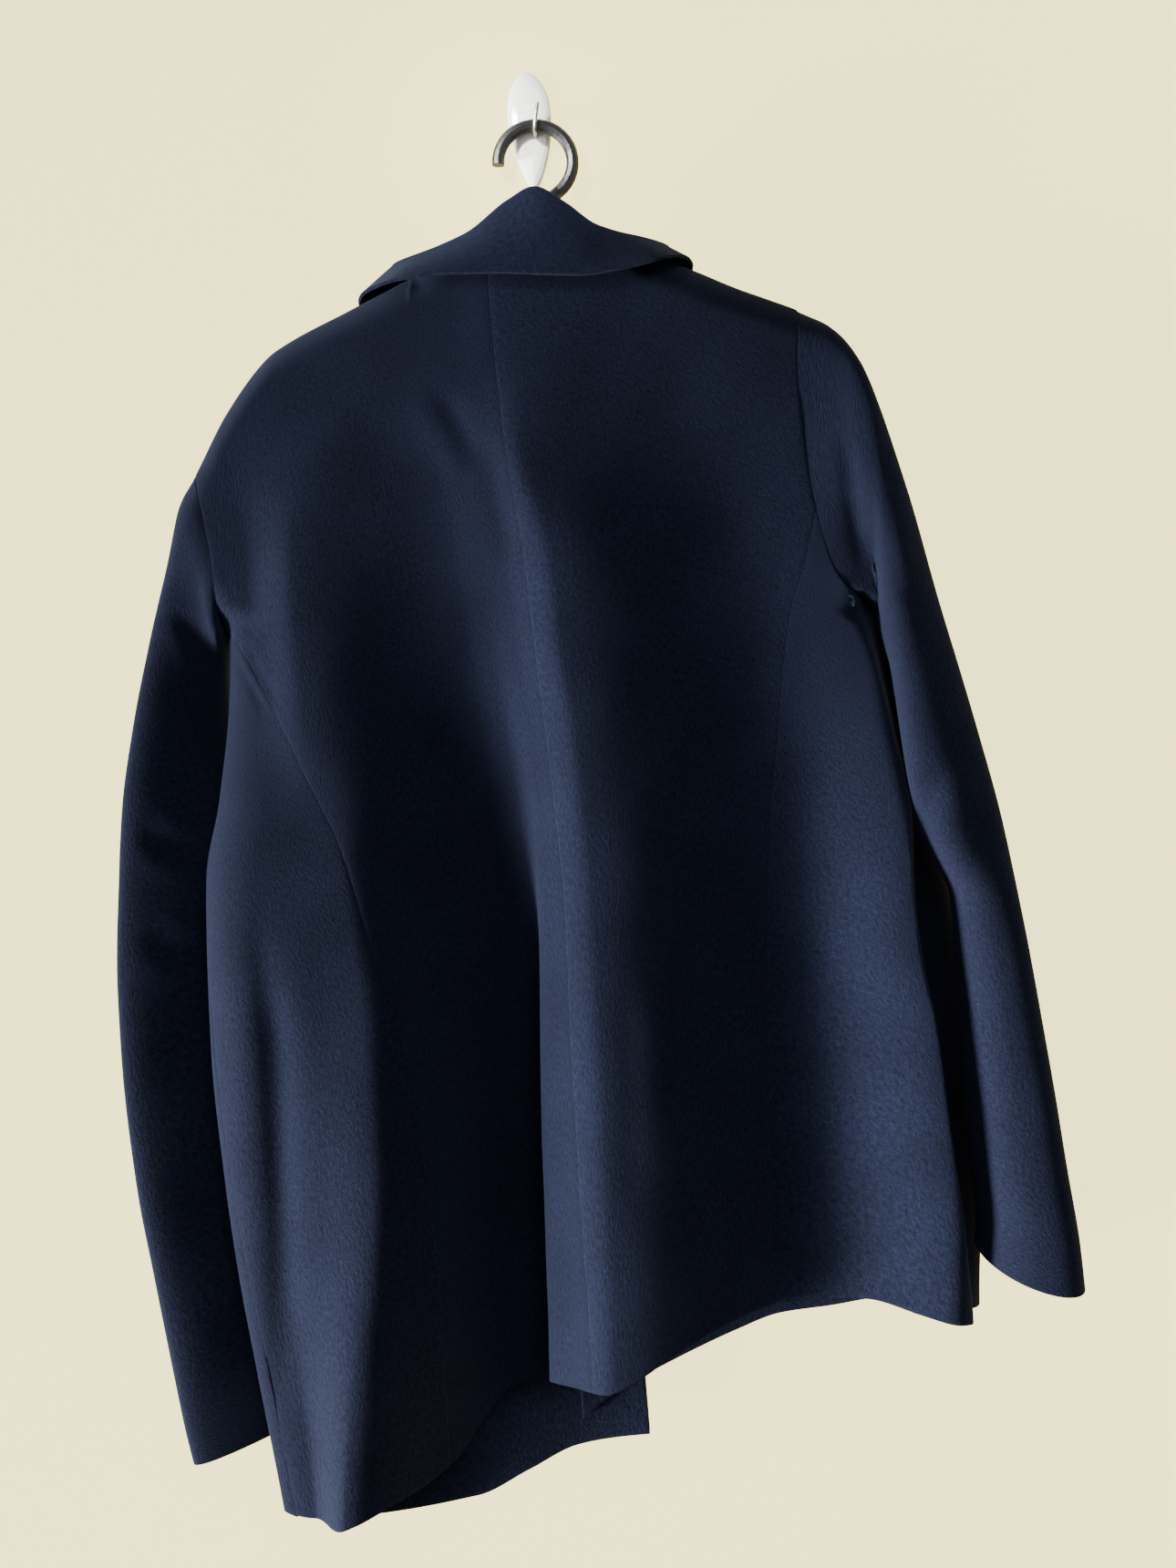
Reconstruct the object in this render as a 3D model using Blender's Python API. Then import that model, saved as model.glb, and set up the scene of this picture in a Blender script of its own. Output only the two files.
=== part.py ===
"""Wool jacket on a plastic hanger that hangs on a small wall hook, its back to the room.

Metres, +Z up. The wall is the plane y = 0 and the jacket hangs at y < 0, with its back facing -Y.
The origin is the middle of the wall plate's flat back. Left and right are those of the back view.
The tables are in millimetres, and MM turns them into metres.
"""

from math import cos, pi, radians, sin

import bmesh
import bpy
import numpy as np

MM = 0.001

# Driving dimensions
CLOTH = 2.4
SEAM_GAP = 0.46
ARMHOLE_GAP = 1.1
UNDERARM_GAP = 1.6
ROUND_SHOULDER = 26.0
SHOULDER_SHARE = 0.13
FRONT_LAP_STEP = 3.4
FRONT_LAP_FLAT = 6.0
FRONT_LAP_FADE = 60.0
SIDE_SEAM_WRAP = 26.0
SIDE_SEAM_RUN = 420.0
HOOK_RADIUS = 25.3
HOOK_ROD = 8.6
HOOK_CENTRE = (3.7, -11.2, -23.9)
HOOK_TIP_ANGLE = 184.0
HOOK_STEM_ANGLE = -52.0
ARM_THICK = 10.6
PLATE_HEIGHT = 83.0
PLATE_WIDTH = 29.6
PLATE_THICK = 6.2
PLATE_TILT = radians(4.3)
WIRE_THICK = 2.8

# Layout of the panels' grids
HEM_GUESS = -850.0
HEM_STEPS = 6
TOP_FADE = 0.35
RING_HALF = 11
CORNER_DROPS = (0.0, 1.5, 3.5, 6.5)
ROW_CLEARANCE = 0.012

# Outline of the jacket without its sleeves, x and z, from the neck outwards and down
SHOULDER_LEFT = [(-77.0, -110.0), (-120.6, -133.0), (-167.7, -159.4), (-176.5, -168.0),
                 (-198.5, -201.0), (-219.0, -243.0)]
SHOULDER_RIGHT = [(87.0, -97.5), (106.4, -103.8), (139.6, -117.1), (178.0, -130.5)]
NECK_BACK = [(-77.0, -110.0), (-50.0, -102.0), (-24.0, -97.0), (4.0, -94.5), (45.0, -94.0), (87.0, -97.5)]
NECK_FRONT_LEFT = [(-77.0, -110.0), (-62.0, -127.0), (-36.0, -150.0), (-2.0, -170.0), (16.0, -178.0)]
NECK_FRONT_RIGHT = [(-26.0, -178.0), (10.0, -160.0), (42.0, -138.0), (72.0, -112.0), (87.0, -97.5)]
ARMHOLE_LEFT = [(-219.0, -243.0), (-212.4, -256.0), (-205.3, -284.0), (-201.2, -306.0),
                (-199.0, -331.0), (-196.6, -346.0), (-196.0, -352.0)]
ARMHOLE_RIGHT = [(178.0, -130.5), (175.9, -172.0), (178.2, -214.0), (183.5, -253.0), (186.4, -268.0),
                 (190.0, -284.0), (199.4, -311.5), (210.0, -322.0), (224.7, -327.0)]
RIM_LEFT = [(-219.0, -243.0), (-229.0, -268.0), (-228.0, -300.0), (-214.0, -332.0), (-196.0, -352.0),
            (-194.0, -398.0), (-197.5, -454.0), (-204.5, -505.0), (-204.0, -540.0), (-201.0, -618.0),
            (-193.0, -695.0), (-184.0, -758.0), (-172.0, -822.0), (-158.0, -893.0), (-151.0, -930.0)]
RIM_RIGHT = [(178.0, -130.5), (205.0, -146.0), (222.0, -180.0), (233.0, -240.0), (236.0, -290.0),
             (224.7, -327.0), (235.5, -342.0), (246.0, -366.0), (257.0, -408.0), (266.0, -450.0),
             (278.0, -500.0), (287.0, -550.0), (295.0, -625.0), (300.0, -680.0), (302.0, -722.0),
             (301.0, -750.0), (299.5, -785.0), (300.0, -830.0)]

# Where the side-back seams leave the armholes, x and z
CORNER_LEFT = (-196.6, -346.0)
CORNER_RIGHT = (186.4, -268.0)

# Seams that run down the back, z and x
CENTRE_BACK_SEAM = [(-90.0, -27.5), (-130.0, -24.7), (-220.0, -15.0), (-294.0, -3.0), (-390.0, 9.1),
                    (-472.0, 19.5), (-526.0, 24.5), (-629.0, 29.7), (-736.0, 36.5), (-795.0, 40.5),
                    (-860.0, 43.0)]
SIDE_BACK_SEAM_LEFT = [(-346.0, -196.6), (-358.0, -183.5), (-400.0, -159.0), (-452.0, -132.4),
                       (-483.0, -116.7), (-543.0, -97.0), (-599.0, -77.0), (-680.0, -63.0),
                       (-780.0, -53.0), (-910.0, -48.0)]
SIDE_BACK_SEAM_RIGHT = [(-268.0, 186.4), (-303.0, 178.7), (-332.0, 170.0), (-376.0, 164.2),
                        (-421.0, 160.7), (-457.0, 156.6), (-560.0, 154.0), (-700.0, 156.0),
                        (-800.0, 159.0)]

# Back, one row a section. Each fold line has its place across and how far it stands from the wall.
BACK_COLUMNS = ("z", "flank_x", "flank_y", "bulge_x", "bulge_y", "trough_x", "trough_y", "under_x", "under_y",
                "edge_x", "edge_y", "crest_x", "crest_y", "hollow_x", "hollow_y", "side_x", "side_y",
                "valley_x", "valley_y")
BACK_SECTIONS = [
    (-90, -170, 50, -110, 54, -60, 58, -44, 59, -28, 60, 5, 61, 110, 55, 150, 52, 172, 48),
    (-150, -180, 62, -118, 68, -62, 70, -46, 70, -30, 71, -4, 72, 105, 64, 155, 60, 180, 58),
    (-220, -196, 76, -130, 78, -62, 75, -46, 76, -30, 79, -4, 86, 116, 70, 162, 68, 186, 67),
    (-296, -180, 80, -148, 91.5, -48, 77, -34, 79, -16, 84, 15, 103, 146, 75, 197, 77, 216, 74),
    (-360, -176, 85.5, -144, 99, -38, 74, -23, 77, -7, 85, 23, 108, 158, 76, 219, 82, 229, 66),
    (-412, -170, 91.6, -138, 101.5, -30, 72, -14, 75, 2, 87, 32, 112, 166, 77, 232, 89, 240, 64),
    (-460, -170, 101, -122, 103, -22, 69, -6, 73, 8, 89, 37, 114, 171, 77, 243, 95, 251, 60),
    (-500, -170, 109, -114, 107, -17, 67, -2, 71, 10, 90, 41, 115, 174, 77, 242, 101, 253, 55),
    (-548, -169, 113, -108, 111, -13, 65, 2, 68, 12, 91, 44, 117, 177, 77, 247, 104, 256, 50),
    (-600, -166, 110, -101, 114, -12, 61, 3, 64, 13, 91, 47, 119, 182, 77, 257, 106, 266, 48),
    (-668, -162, 104, -96, 118, -11, 55, 4, 58, 16, 91, 51, 120, 188, 77, 266, 108, 275, 46),
    (-713, -158, 100, -95, 119, -11, 53, 6, 56, 18, 91, 53, 121, 192, 77, 273, 108, 282, 48),
    (-753, -154, 97, -97, 120, -10, 51, 7, 54, 20, 91, 55, 121, 196, 78, 278, 107, 287, 55),
    (-792, -149, 93, -101, 120, -8, 50, 8, 53, 22, 90, 56, 121, 199, 78, 283, 104, 291, 68),
    (-870, -138, 91, -109, 119, -10, 49, 8, 52, 24, 89, 58, 120, 201, 79, 279, 104, 291, 70),
    (-950, -130, 90, -113, 118, -12, 49, 8, 52, 24, 89, 60, 119, 202, 80, 279, 104, 291, 70)]
# The centre fold leans over its hollow: how far its foot is drawn in, by height
TUCK_ROWS = [(-470.0, 0.0), (-560.0, 7.0), (-700.0, 11.0), (-880.0, 13.0)]
TUCK_FOOT_WIDTH = 7.0
TUCK_BROW_WIDTH = 8.0
TUCK_BROW_SHARE = 0.55
# Shares of the right side panel's width that hold the fold in front of the sleeve
SIDE_FOLD_SHARES = (0.0, 0.54, 0.72, 1.0)
SIDE_BROW_INSET = 3.0
SIDE_FOOT_OUTSET = 1.0

# Hem, x and z
HEM_BACK = [(-153.0, -910.0), (-136.0, -911.5), (-122.0, -910.5), (-105.0, -905.0), (-86.0, -898.0),
            (-68.0, -893.0), (-46.0, -882.0), (-27.0, -858.0), (-12.0, -842.0), (8.0, -833.0),
            (24.0, -825.0), (48.0, -823.5), (72.0, -813.0), (90.0, -802.0), (128.0, -784.5),
            (160.0, -776.5), (218.0, -774.5), (250.0, -781.0), (270.0, -785.5), (297.0, -789.0)]

# Front, nearly flat along the wall and pushed out at the left by the sleeve that lies behind it.
# One row a section: the height, then how far it stands from the wall at the shares of its width.
FRONT_SHARES = (0.10, 0.30, 0.55, 0.78, 0.93)
FRONT_SECTIONS = [
    (-90, 20, 20, 20, 20, 20),
    (-200, 19, 17, 17, 17, 18),
    (-350, 30, 18, 14, 14, 18),
    (-430, 52, 27, 14, 14, 17),
    (-520, 66, 33, 15, 14, 17),
    (-700, 68, 34, 16, 14, 17),
    (-950, 68, 33, 17, 15, 18)]
# Depth of the line where the back turns into the front, by height, at the left and at the right rim
MIDDLE_ROWS = [(-90, 34, 34), (-250, 38, 38), (-330, 43, 43), (-430, 66, 33), (-520, 79, 28), (-700, 80, 28),
               (-780, 80, 33), (-950, 80, 36)]
# Radius of that turn, by height
RIM_ROUND_ROWS = [(-130, 26), (-200, 20), (-260, 19), (-340, 26), (-420, 34), (-700, 36), (-950, 36)]
HEM_FRONT_LEFT = [(-153.0, -910.0), (-120.0, -917.0), (-76.0, -919.0), (-34.0, -917.0), (0.0, -903.0),
                  (32.0, -889.0), (60.0, -885.0), (81.0, -883.5)]
HEM_FRONT_RIGHT = [(36.0, -870.0), (52.0, -858.0), (97.0, -833.0), (140.0, -814.0), (169.0, -803.0),
                   (203.0, -798.0), (240.0, -791.5), (297.0, -789.0)]
FRONT_EDGE_LEFT = [(-178.0, 16.0), (-400.0, 38.0), (-650.0, 62.0), (-880.0, 81.0)]
FRONT_EDGE_RIGHT = [(-178.0, -26.0), (-400.0, -4.0), (-650.0, 18.0), (-870.0, 36.0)]

# Sleeves, one row a ring: outer and inner points, and how far the back and front stand from the wall
SLEEVE_COLUMNS = ("outer_x", "outer_z", "inner_x", "inner_z", "back_y", "front_y", "back_drop", "lean")
SLEEVE_RIGHT = [
    (178.0, -130.5, 224.7, -327.0, 68, 18, 0, 0),
    (199.0, -143.5, 229.4, -329.5, 69, 19, 0, 1),
    (213.5, -163.6, 230.6, -335.0, 71, 22, 0, 10),
    (227.5, -199.0, 230.6, -347.0, 73, 28, 0, 20),
    (245.5, -257.0, 234, -370.0, 77, 38, 0, 24),
    (265.5, -332.0, 238.0, -401.0, 82, 46, 0, 23),
    (286.5, -407.0, 243.5, -441.0, 90, 52, 0, 18),
    (302.0, -470.0, 250.0, -474.0, 98, 57, 0, 11),
    (312.0, -525.0, 272.0, -517.0, 106, 59, 0, 2),
    (321.5, -577.0, 276.0, -570.0, 110, 58, 0, -3),
    (331.0, -632.0, 280.0, -628.0, 112, 57, 0, -6),
    (339.5, -685.0, 285.0, -680.0, 114, 57, 2, -8),
    (347.5, -732.0, 290.0, -720.0, 115, 57, 6, -8),
    (351.0, -761.0, 289.5, -741.0, 115, 57, 10, -8)]
SLEEVE_LEFT = [
    (-219.0, -243.0, -196.0, -352.0, 70, 20, 0, 0),
    (-226.4, -263.1, -198.8, -355.0, 73, 22, 0, -4),
    (-232.6, -303.3, -199.2, -367.0, 77, 33, 0, -14),
    (-242.5, -356.1, -198.2, -390.0, 82, 45, 0, -24),
    (-251.4, -408.0, -194.0, -422.0, 86, 53, 0, -31),
    (-257.3, -456.7, -183.0, -462.0, 89, 57, 0, -36),
    (-260.3, -508.3, -175.0, -510.0, 87, 57, 0, -39),
    (-261.9, -559.9, -170.0, -563.0, 85, 57, 0, -41),
    (-258.0, -632.0, -163.0, -634.0, 85, 57, 0, -42),
    (-249.2, -704.0, -154.0, -698.0, 85, 57, 0, -42),
    (-238.5, -759.5, -144.0, -746.0, 85, 57, 0, -42),
    (-226.6, -819.7, -131.0, -796.0, 84, 56, 1, -40),
    (-218.5, -860.5, -120.0, -826.0, 83, 55, 2, -38),
    (-213.1, -882.0, -113.0, -842.0, 83, 55, 4, -38)]

# Shares of a sleeve's length in which its rings take over from the armhole's own curve
SLEEVE_FLATNESS = {-1: (0.5, 0.5), 1: (0.95, 0.48)}
CAP_BLEND = 0.22
UNDERARM_BLEND = 0.09

# Collar, one row a station round the neck, from the left front over the back to the right front.
# The seam follows the neckline of the panels, the fold line and the free edge are its outer face.
COLLAR_COLUMNS = ("seam_x", "fold_x", "fold_y", "fold_z", "edge_x", "edge_y", "edge_z")
COLLAR = [
    (13.0, 12.0, 11.0, -163.0, -14.0, 6.5, -228.0),
    (-6.0, -12.0, 11.0, -149.0, -46.0, 6.5, -214.0),
    (-36.0, -46.0, 11.5, -128.0, -86.0, 7.5, -184.0),
    (-60.0, -72.0, 16.0, -111.5, -110.0, 11.0, -150.0),
    (-71.0, -83.0, 25.0, -102.5, -114.0, 21.0, -133.0),
    (-75.0, -86.5, 30.5, -100.5, -115.0, 30.5, -126.0),
    (-77.0, -88.0, 36.0, -99.5, -112.0, 40.0, -122.5),
    (-65.0, -67.0, 51.0, -95.8, -86.0, 69.0, -121.0),
    (-44.0, -39.5, 59.0, -86.5, -52.0, 76.0, -118.0),
    (-20.0, -12.5, 61.0, -65.5, -18.0, 78.0, -118.0),
    (4.0, 4.5, 61.5, -57.0, 10.0, 78.5, -119.0),
    (28.0, 23.0, 61.0, -66.5, 34.0, 78.0, -119.5),
    (52.0, 45.0, 60.0, -81.5, 58.0, 77.0, -116.0),
    (74.0, 67.5, 56.5, -86.7, 85.0, 75.0, -109.0),
    (87.0, 91.0, 39.0, -88.5, 107.0, 44.0, -99.5),
    (85.0, 90.5, 31.0, -89.5, 111.0, 31.0, -101.5),
    (80.0, 87.0, 24.0, -91.5, 111.0, 18.5, -111.0),
    (70.0, 75.0, 16.0, -99.0, 107.0, 11.0, -130.0),
    (52.0, 60.0, 12.5, -111.5, 95.0, 8.5, -158.0),
    (36.0, 45.0, 11.5, -124.0, 74.0, 6.5, -190.0),
    (20.0, 28.0, 11.0, -136.0, 46.0, 6.5, -222.0)]
COLLAR_LEFT_NECK = 6
COLLAR_RIGHT_NECK = 14
COLLAR_FOLD_HALF = 1.3
COLLAR_LIFT = 1.4
STAND_END = 0.30
FALL_START = 0.46

# Colours, roughness
NAVY = ((0.012, 0.018, 0.042, 1.0), 0.92)
BLACK_PLASTIC = ((0.018, 0.018, 0.019, 1.0), 0.42)
WHITE_PLASTIC = ((0.82, 0.82, 0.80, 1.0), 0.18)
STEEL = ((0.62, 0.62, 0.60, 1.0), 0.25)


def clear_scene():
    for old in list(bpy.data.objects):
        bpy.data.objects.remove(old, do_unlink=True)


def make_collection(name):
    group = bpy.data.collections.new(name)
    bpy.context.scene.collection.children.link(group)
    return group


def make_material(name, finish, metallic=0.0):
    colour, roughness = finish
    material = bpy.data.materials.new(name)
    material.use_nodes = True
    shader = material.node_tree.nodes["Principled BSDF"]
    shader.inputs["Base Color"].default_value = colour
    shader.inputs["Roughness"].default_value = roughness
    shader.inputs["Metallic"].default_value = metallic
    return material


def curve_through(xs, ys, x):
    """Smooth curve through knots that never overshoots them. xs and ys may have a row for each x."""
    x = np.asarray(x, dtype=float)
    flat = x.reshape(-1)
    xs = np.broadcast_to(np.asarray(xs, dtype=float), (flat.size, np.shape(xs)[-1]))
    ys = np.broadcast_to(np.asarray(ys, dtype=float), (flat.size, np.shape(ys)[-1]))
    step = np.diff(xs, axis=1)
    rise = np.diff(ys, axis=1) / step
    slope = np.zeros_like(ys)
    before = rise[:, :-1]
    after = rise[:, 1:]
    same = before * after > 0.0
    total = np.where(same, before + after, 1.0)
    slope[:, 1:-1] = np.where(same, 2.0 * before * after / total, 0.0)
    slope[:, 0] = rise[:, 0]
    slope[:, -1] = rise[:, -1]
    k = (flat[:, None] >= xs[:, 1:-1]).sum(axis=1)[:, None]

    def pick(values):
        return np.take_along_axis(values, k, axis=1)[:, 0]

    width = pick(step)
    t = np.clip((flat - pick(xs)) / width, 0.0, 1.0)
    low = pick(ys)
    high = np.take_along_axis(ys, k + 1, axis=1)[:, 0]
    slope_low = pick(slope)
    slope_high = np.take_along_axis(slope, k + 1, axis=1)[:, 0]
    value = (low * (1 + 2 * t) * (1 - t) ** 2 + high * t * t * (3 - 2 * t)
             + width * (slope_low * t * (1 - t) ** 2 - slope_high * t * t * (1 - t)))
    return value.reshape(x.shape)


def by_height(rows, column, z):
    """A column of a table whose first column is the height, read at z."""
    table = np.array(rows, dtype=float)
    order = np.argsort(table[:, 0])
    return curve_through(table[order, 0], table[order, column], z)


def by_place(points, x):
    """Height of an outline of x and z points, read at x."""
    table = np.array(points, dtype=float)
    order = np.argsort(table[:, 0])
    return curve_through(table[order, 0], table[order, 1], x)


def outline_x(points, z):
    """Place across of an outline of x and z points, read at height z and held beyond its ends."""
    table = np.array(points, dtype=float)
    order = np.argsort(table[:, 1])
    table = table[order]
    return curve_through(table[:, 1], table[:, 0], np.clip(z, table[0, 1], table[-1, 1]))


def smooth_step(t):
    t = np.clip(t, 0.0, 1.0)
    return t * t * (3.0 - 2.0 * t)


def distance_to(curve, first, last, along_place, off_place):
    """Distance to an outline that is read along one axis, square to its own slope."""
    step = 0.05
    held = np.clip(along_place, first, last)
    slope = (curve(held + step) - curve(held - step)) / (2.0 * step)
    return np.hypot((off_place - curve(held)) / np.sqrt(1.0 + slope ** 2), along_place - held)


def edge_distance(x, z):
    """Distance, seen from the back, to the outline where the back turns into the front."""
    best = np.full(np.shape(x), 1.0e9)
    for shoulder in (SHOULDER_LEFT, SHOULDER_RIGHT):
        first, last = sorted((shoulder[0][0], shoulder[-1][0]))
        best = np.minimum(best, distance_to(lambda t: by_place(shoulder, t), first, last, x, z))
    for rim in (RIM_LEFT, RIM_RIGHT):
        best = np.minimum(best, distance_to(lambda t: outline_x(rim, t), rim[-1][1], rim[0][1], z, x))
    return best


def rounding(x, z):
    """From 0 on the outline to 1 where the cloth has turned fully to the back or the front."""
    radius = by_height(RIM_ROUND_ROWS, 1, z)
    t = np.clip(edge_distance(x, z) / radius, 0.0, 1.0)
    return np.sqrt(np.clip(1.0 - (1.0 - t) ** 2, 0.0, 1.0))


def middle_y(x, z):
    left = outline_x(RIM_LEFT, z)
    right = outline_x(RIM_RIGHT, z)
    share = smooth_step((x - left) / (right - left))
    return by_height(MIDDLE_ROWS, 1, z) * (1.0 - share) + by_height(MIDDLE_ROWS, 2, z) * share


def back_surface(x, z):
    """Outer face of the back at place x and height z. The centre fold leans over to the left."""
    column = {name: by_height(BACK_SECTIONS, i, z) for i, name in enumerate(BACK_COLUMNS)}
    left = np.minimum(outline_x(RIM_LEFT, z), column["flank_x"] - 6.0)
    right = np.maximum(outline_x(RIM_RIGHT, z), column["valley_x"] + 6.0)
    names = ("flank", "bulge", "trough", "under", "edge", "crest", "hollow", "side", "valley")
    xs = [left] + [column[n + "_x"] for n in names] + [right]
    ys = [column["flank_y"]] + [column[n + "_y"] for n in names] + [column["valley_y"]]
    xs = np.stack([v.reshape(-1) for v in xs], axis=1)
    ys = np.stack([v.reshape(-1) for v in ys], axis=1)
    depth = curve_through(xs, ys, x.reshape(-1)).reshape(x.shape)
    middle = middle_y(x, z)
    depth = middle + (depth - middle) * rounding(x, z)
    tuck = by_height(TUCK_ROWS, 1, np.clip(z, TUCK_ROWS[-1][0], TUCK_ROWS[0][0]))
    foot = np.exp(-((x - column["under_x"]) / TUCK_FOOT_WIDTH) ** 2)
    brow = np.exp(-((x - column["edge_x"]) / TUCK_BROW_WIDTH) ** 2)
    shift = tuck * (foot - TUCK_BROW_SHARE * brow)
    return np.stack([x + shift, -depth, z], axis=-1)


def front_surface(x, z, lap):
    """Outer face of a front. lap moves it away from the wall where it lies under the other front."""
    left = outline_x(RIM_LEFT, z)
    right = outline_x(RIM_RIGHT, z)
    across = (x - left) / (right - left)
    ys = np.stack([by_height(FRONT_SECTIONS, i, z).reshape(-1) for i in range(1, 6)], axis=1)
    depth = curve_through(FRONT_SHARES, ys, across.reshape(-1)).reshape(x.shape) + lap
    middle = middle_y(x, z)
    depth = middle + (depth - middle) * rounding(x, z)
    return np.stack([x, -depth, z], axis=-1)


def drop_down(v, length):
    """Rows crowd at the top, where the cloth turns over the shoulder, then share the rest evenly."""
    quarter = np.clip(v / SHOULDER_SHARE, 0.0, 1.0) * pi / 2
    rest = np.clip((v - SHOULDER_SHARE) / (1.0 - SHOULDER_SHARE), 0.0, 1.0)
    over = np.minimum(ROUND_SHOULDER, 0.5 * length)
    return over * (1.0 - np.cos(quarter)) + (length - over) * rest


def rim_offset(q, radius):
    """Place inside a rim for a length q along the cloth from it, round the bend and then straight."""
    bend = radius * pi / 2
    inside = radius * (1.0 - np.cos(np.clip(np.abs(q) / radius, 0.0, pi / 2)))
    return inside + np.maximum(np.abs(q) - bend, 0.0)


def rim_length(d, radius):
    """The length along the cloth that reaches a place d inside a rim."""
    bend = np.arccos(np.clip(1.0 - d / radius, 0.0, 1.0)) * radius
    return bend + np.maximum(d - radius, 0.0)


def panel_rows(u, v, top, hem, across):
    """Heights and places of a panel's grid. top and hem are outlines, across gives places at a height."""
    top_x, top_z = top(u)
    hem_z = np.full_like(u, HEM_GUESS)
    for _ in range(HEM_STEPS):
        hem_z = by_place(hem, across(u, hem_z))
    z = top_z - drop_down(v, top_z - hem_z)
    x = across(u, z) + (top_x - across(u, top_z)) * (1.0 - smooth_step(v / TOP_FADE))
    return x, z


def along(points, u):
    """Point at share u of an outline's length."""
    table = np.array(points, dtype=float)
    runs = np.hypot(np.diff(table[:, 0]), np.diff(table[:, 1]))
    length = np.concatenate([[0.0], np.cumsum(runs)])
    length /= length[-1]
    return curve_through(length, table[:, 0], u), curve_through(length, table[:, 1], u)


def back_panel(u, v, outer, neck, shoulder):
    """From the centre-back seam, u = 0, to the armhole and the side-back seam, u = 1."""
    def across(u, z):
        inner = by_height(CENTRE_BACK_SEAM, 1, z)
        return inner + (outer(z) - inner) * u

    def top(u):
        start = CENTRE_BACK_SEAM[0][1]
        x = start + (shoulder[-1][0] - start) * u
        for _ in range(HEM_STEPS):
            x = across(u, top_height(x, neck, shoulder))
        return x, top_height(x, neck, shoulder)

    x, z = panel_rows(u, v, top, HEM_BACK, across)
    return back_surface(x, z)


def top_height(x, neck, shoulder):
    beyond = x > shoulder[0][0] if shoulder is SHOULDER_RIGHT else x < shoulder[0][0]
    return np.where(beyond, by_place(shoulder, x), by_place(neck, x))


def outer_left(z):
    arm = outline_x(ARMHOLE_LEFT, z)
    seam = by_height(SIDE_BACK_SEAM_LEFT, 1, np.clip(z, SIDE_BACK_SEAM_LEFT[-1][0], CORNER_LEFT[1]))
    return np.where(z > CORNER_LEFT[1], arm, seam)


def outer_right(z):
    arm = outline_x(ARMHOLE_RIGHT, z)
    seam = by_height(SIDE_BACK_SEAM_RIGHT, 1, np.clip(z, SIDE_BACK_SEAM_RIGHT[-1][0], CORNER_RIGHT[1]))
    return np.where(z > CORNER_RIGHT[1], arm, seam)


def side_seam_left(z):
    """Length along the cloth from the left rim to the side seam, on the back."""
    return SIDE_SEAM_WRAP * smooth_step((ARMHOLE_LEFT[-1][1] - z) / SIDE_SEAM_RUN)


def side_seam_right(z):
    """The right side seam lies on the rim itself."""
    return np.zeros_like(z)


def place_at(rim, side, q, z):
    radius = by_height(RIM_ROUND_ROWS, 1, z)
    return outline_x(rim, z) - side * rim_offset(q, radius)


def side_back_panel(u, v, side):
    """From the side-back seam, u = 0, to the side seam, u = 1. side is -1 at the left and 1 at the right."""
    rim = RIM_LEFT if side < 0 else RIM_RIGHT
    armhole = ARMHOLE_LEFT if side < 0 else ARMHOLE_RIGHT
    outer = outer_left if side < 0 else outer_right
    seam = side_seam_left if side < 0 else side_seam_right
    corner = CORNER_LEFT if side < 0 else CORNER_RIGHT
    top_run = [corner] + [p for p in armhole if p[1] < corner[1] - 1.0]

    def length(u, z):
        radius = by_height(RIM_ROUND_ROWS, 1, z)
        rim_x = outline_x(rim, z)
        start = rim_length(np.abs(rim_x - outer(z)), radius)
        if side < 0:
            return start + (seam(z) - start) * u
        brow_x = by_height(BACK_SECTIONS, BACK_COLUMNS.index("side_x"), z) - SIDE_BROW_INSET
        foot_x = by_height(BACK_SECTIONS, BACK_COLUMNS.index("valley_x"), z) + SIDE_FOOT_OUTSET
        brow = rim_length(rim_x - brow_x, radius)
        foot = rim_length(rim_x - foot_x, radius)
        shares = np.broadcast_to(SIDE_FOLD_SHARES, (u.size, 4))
        lengths = np.stack([start.ravel(), brow.ravel(), foot.ravel(), seam(z).ravel()], axis=1)
        return curve_through(shares, lengths, u.ravel()).reshape(u.shape)

    def across(u, z):
        return place_at(rim, side, length(u, z), z)

    def top(u):
        return along(top_run, u)

    x, z = panel_rows(u, v, top, HEM_BACK, across)
    back = back_surface(x, z)
    front = front_surface(x, z, 0.0)
    return np.where((length(u, z) < 0.0)[..., None], front, back)


def front_lap(x, z):
    """How much further from the wall the right front lies, where the left front covers it."""
    past = x - by_height(FRONT_EDGE_LEFT, 1, z) - FRONT_LAP_FLAT
    return FRONT_LAP_STEP * (1.0 - smooth_step(past / FRONT_LAP_FADE))


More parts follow.
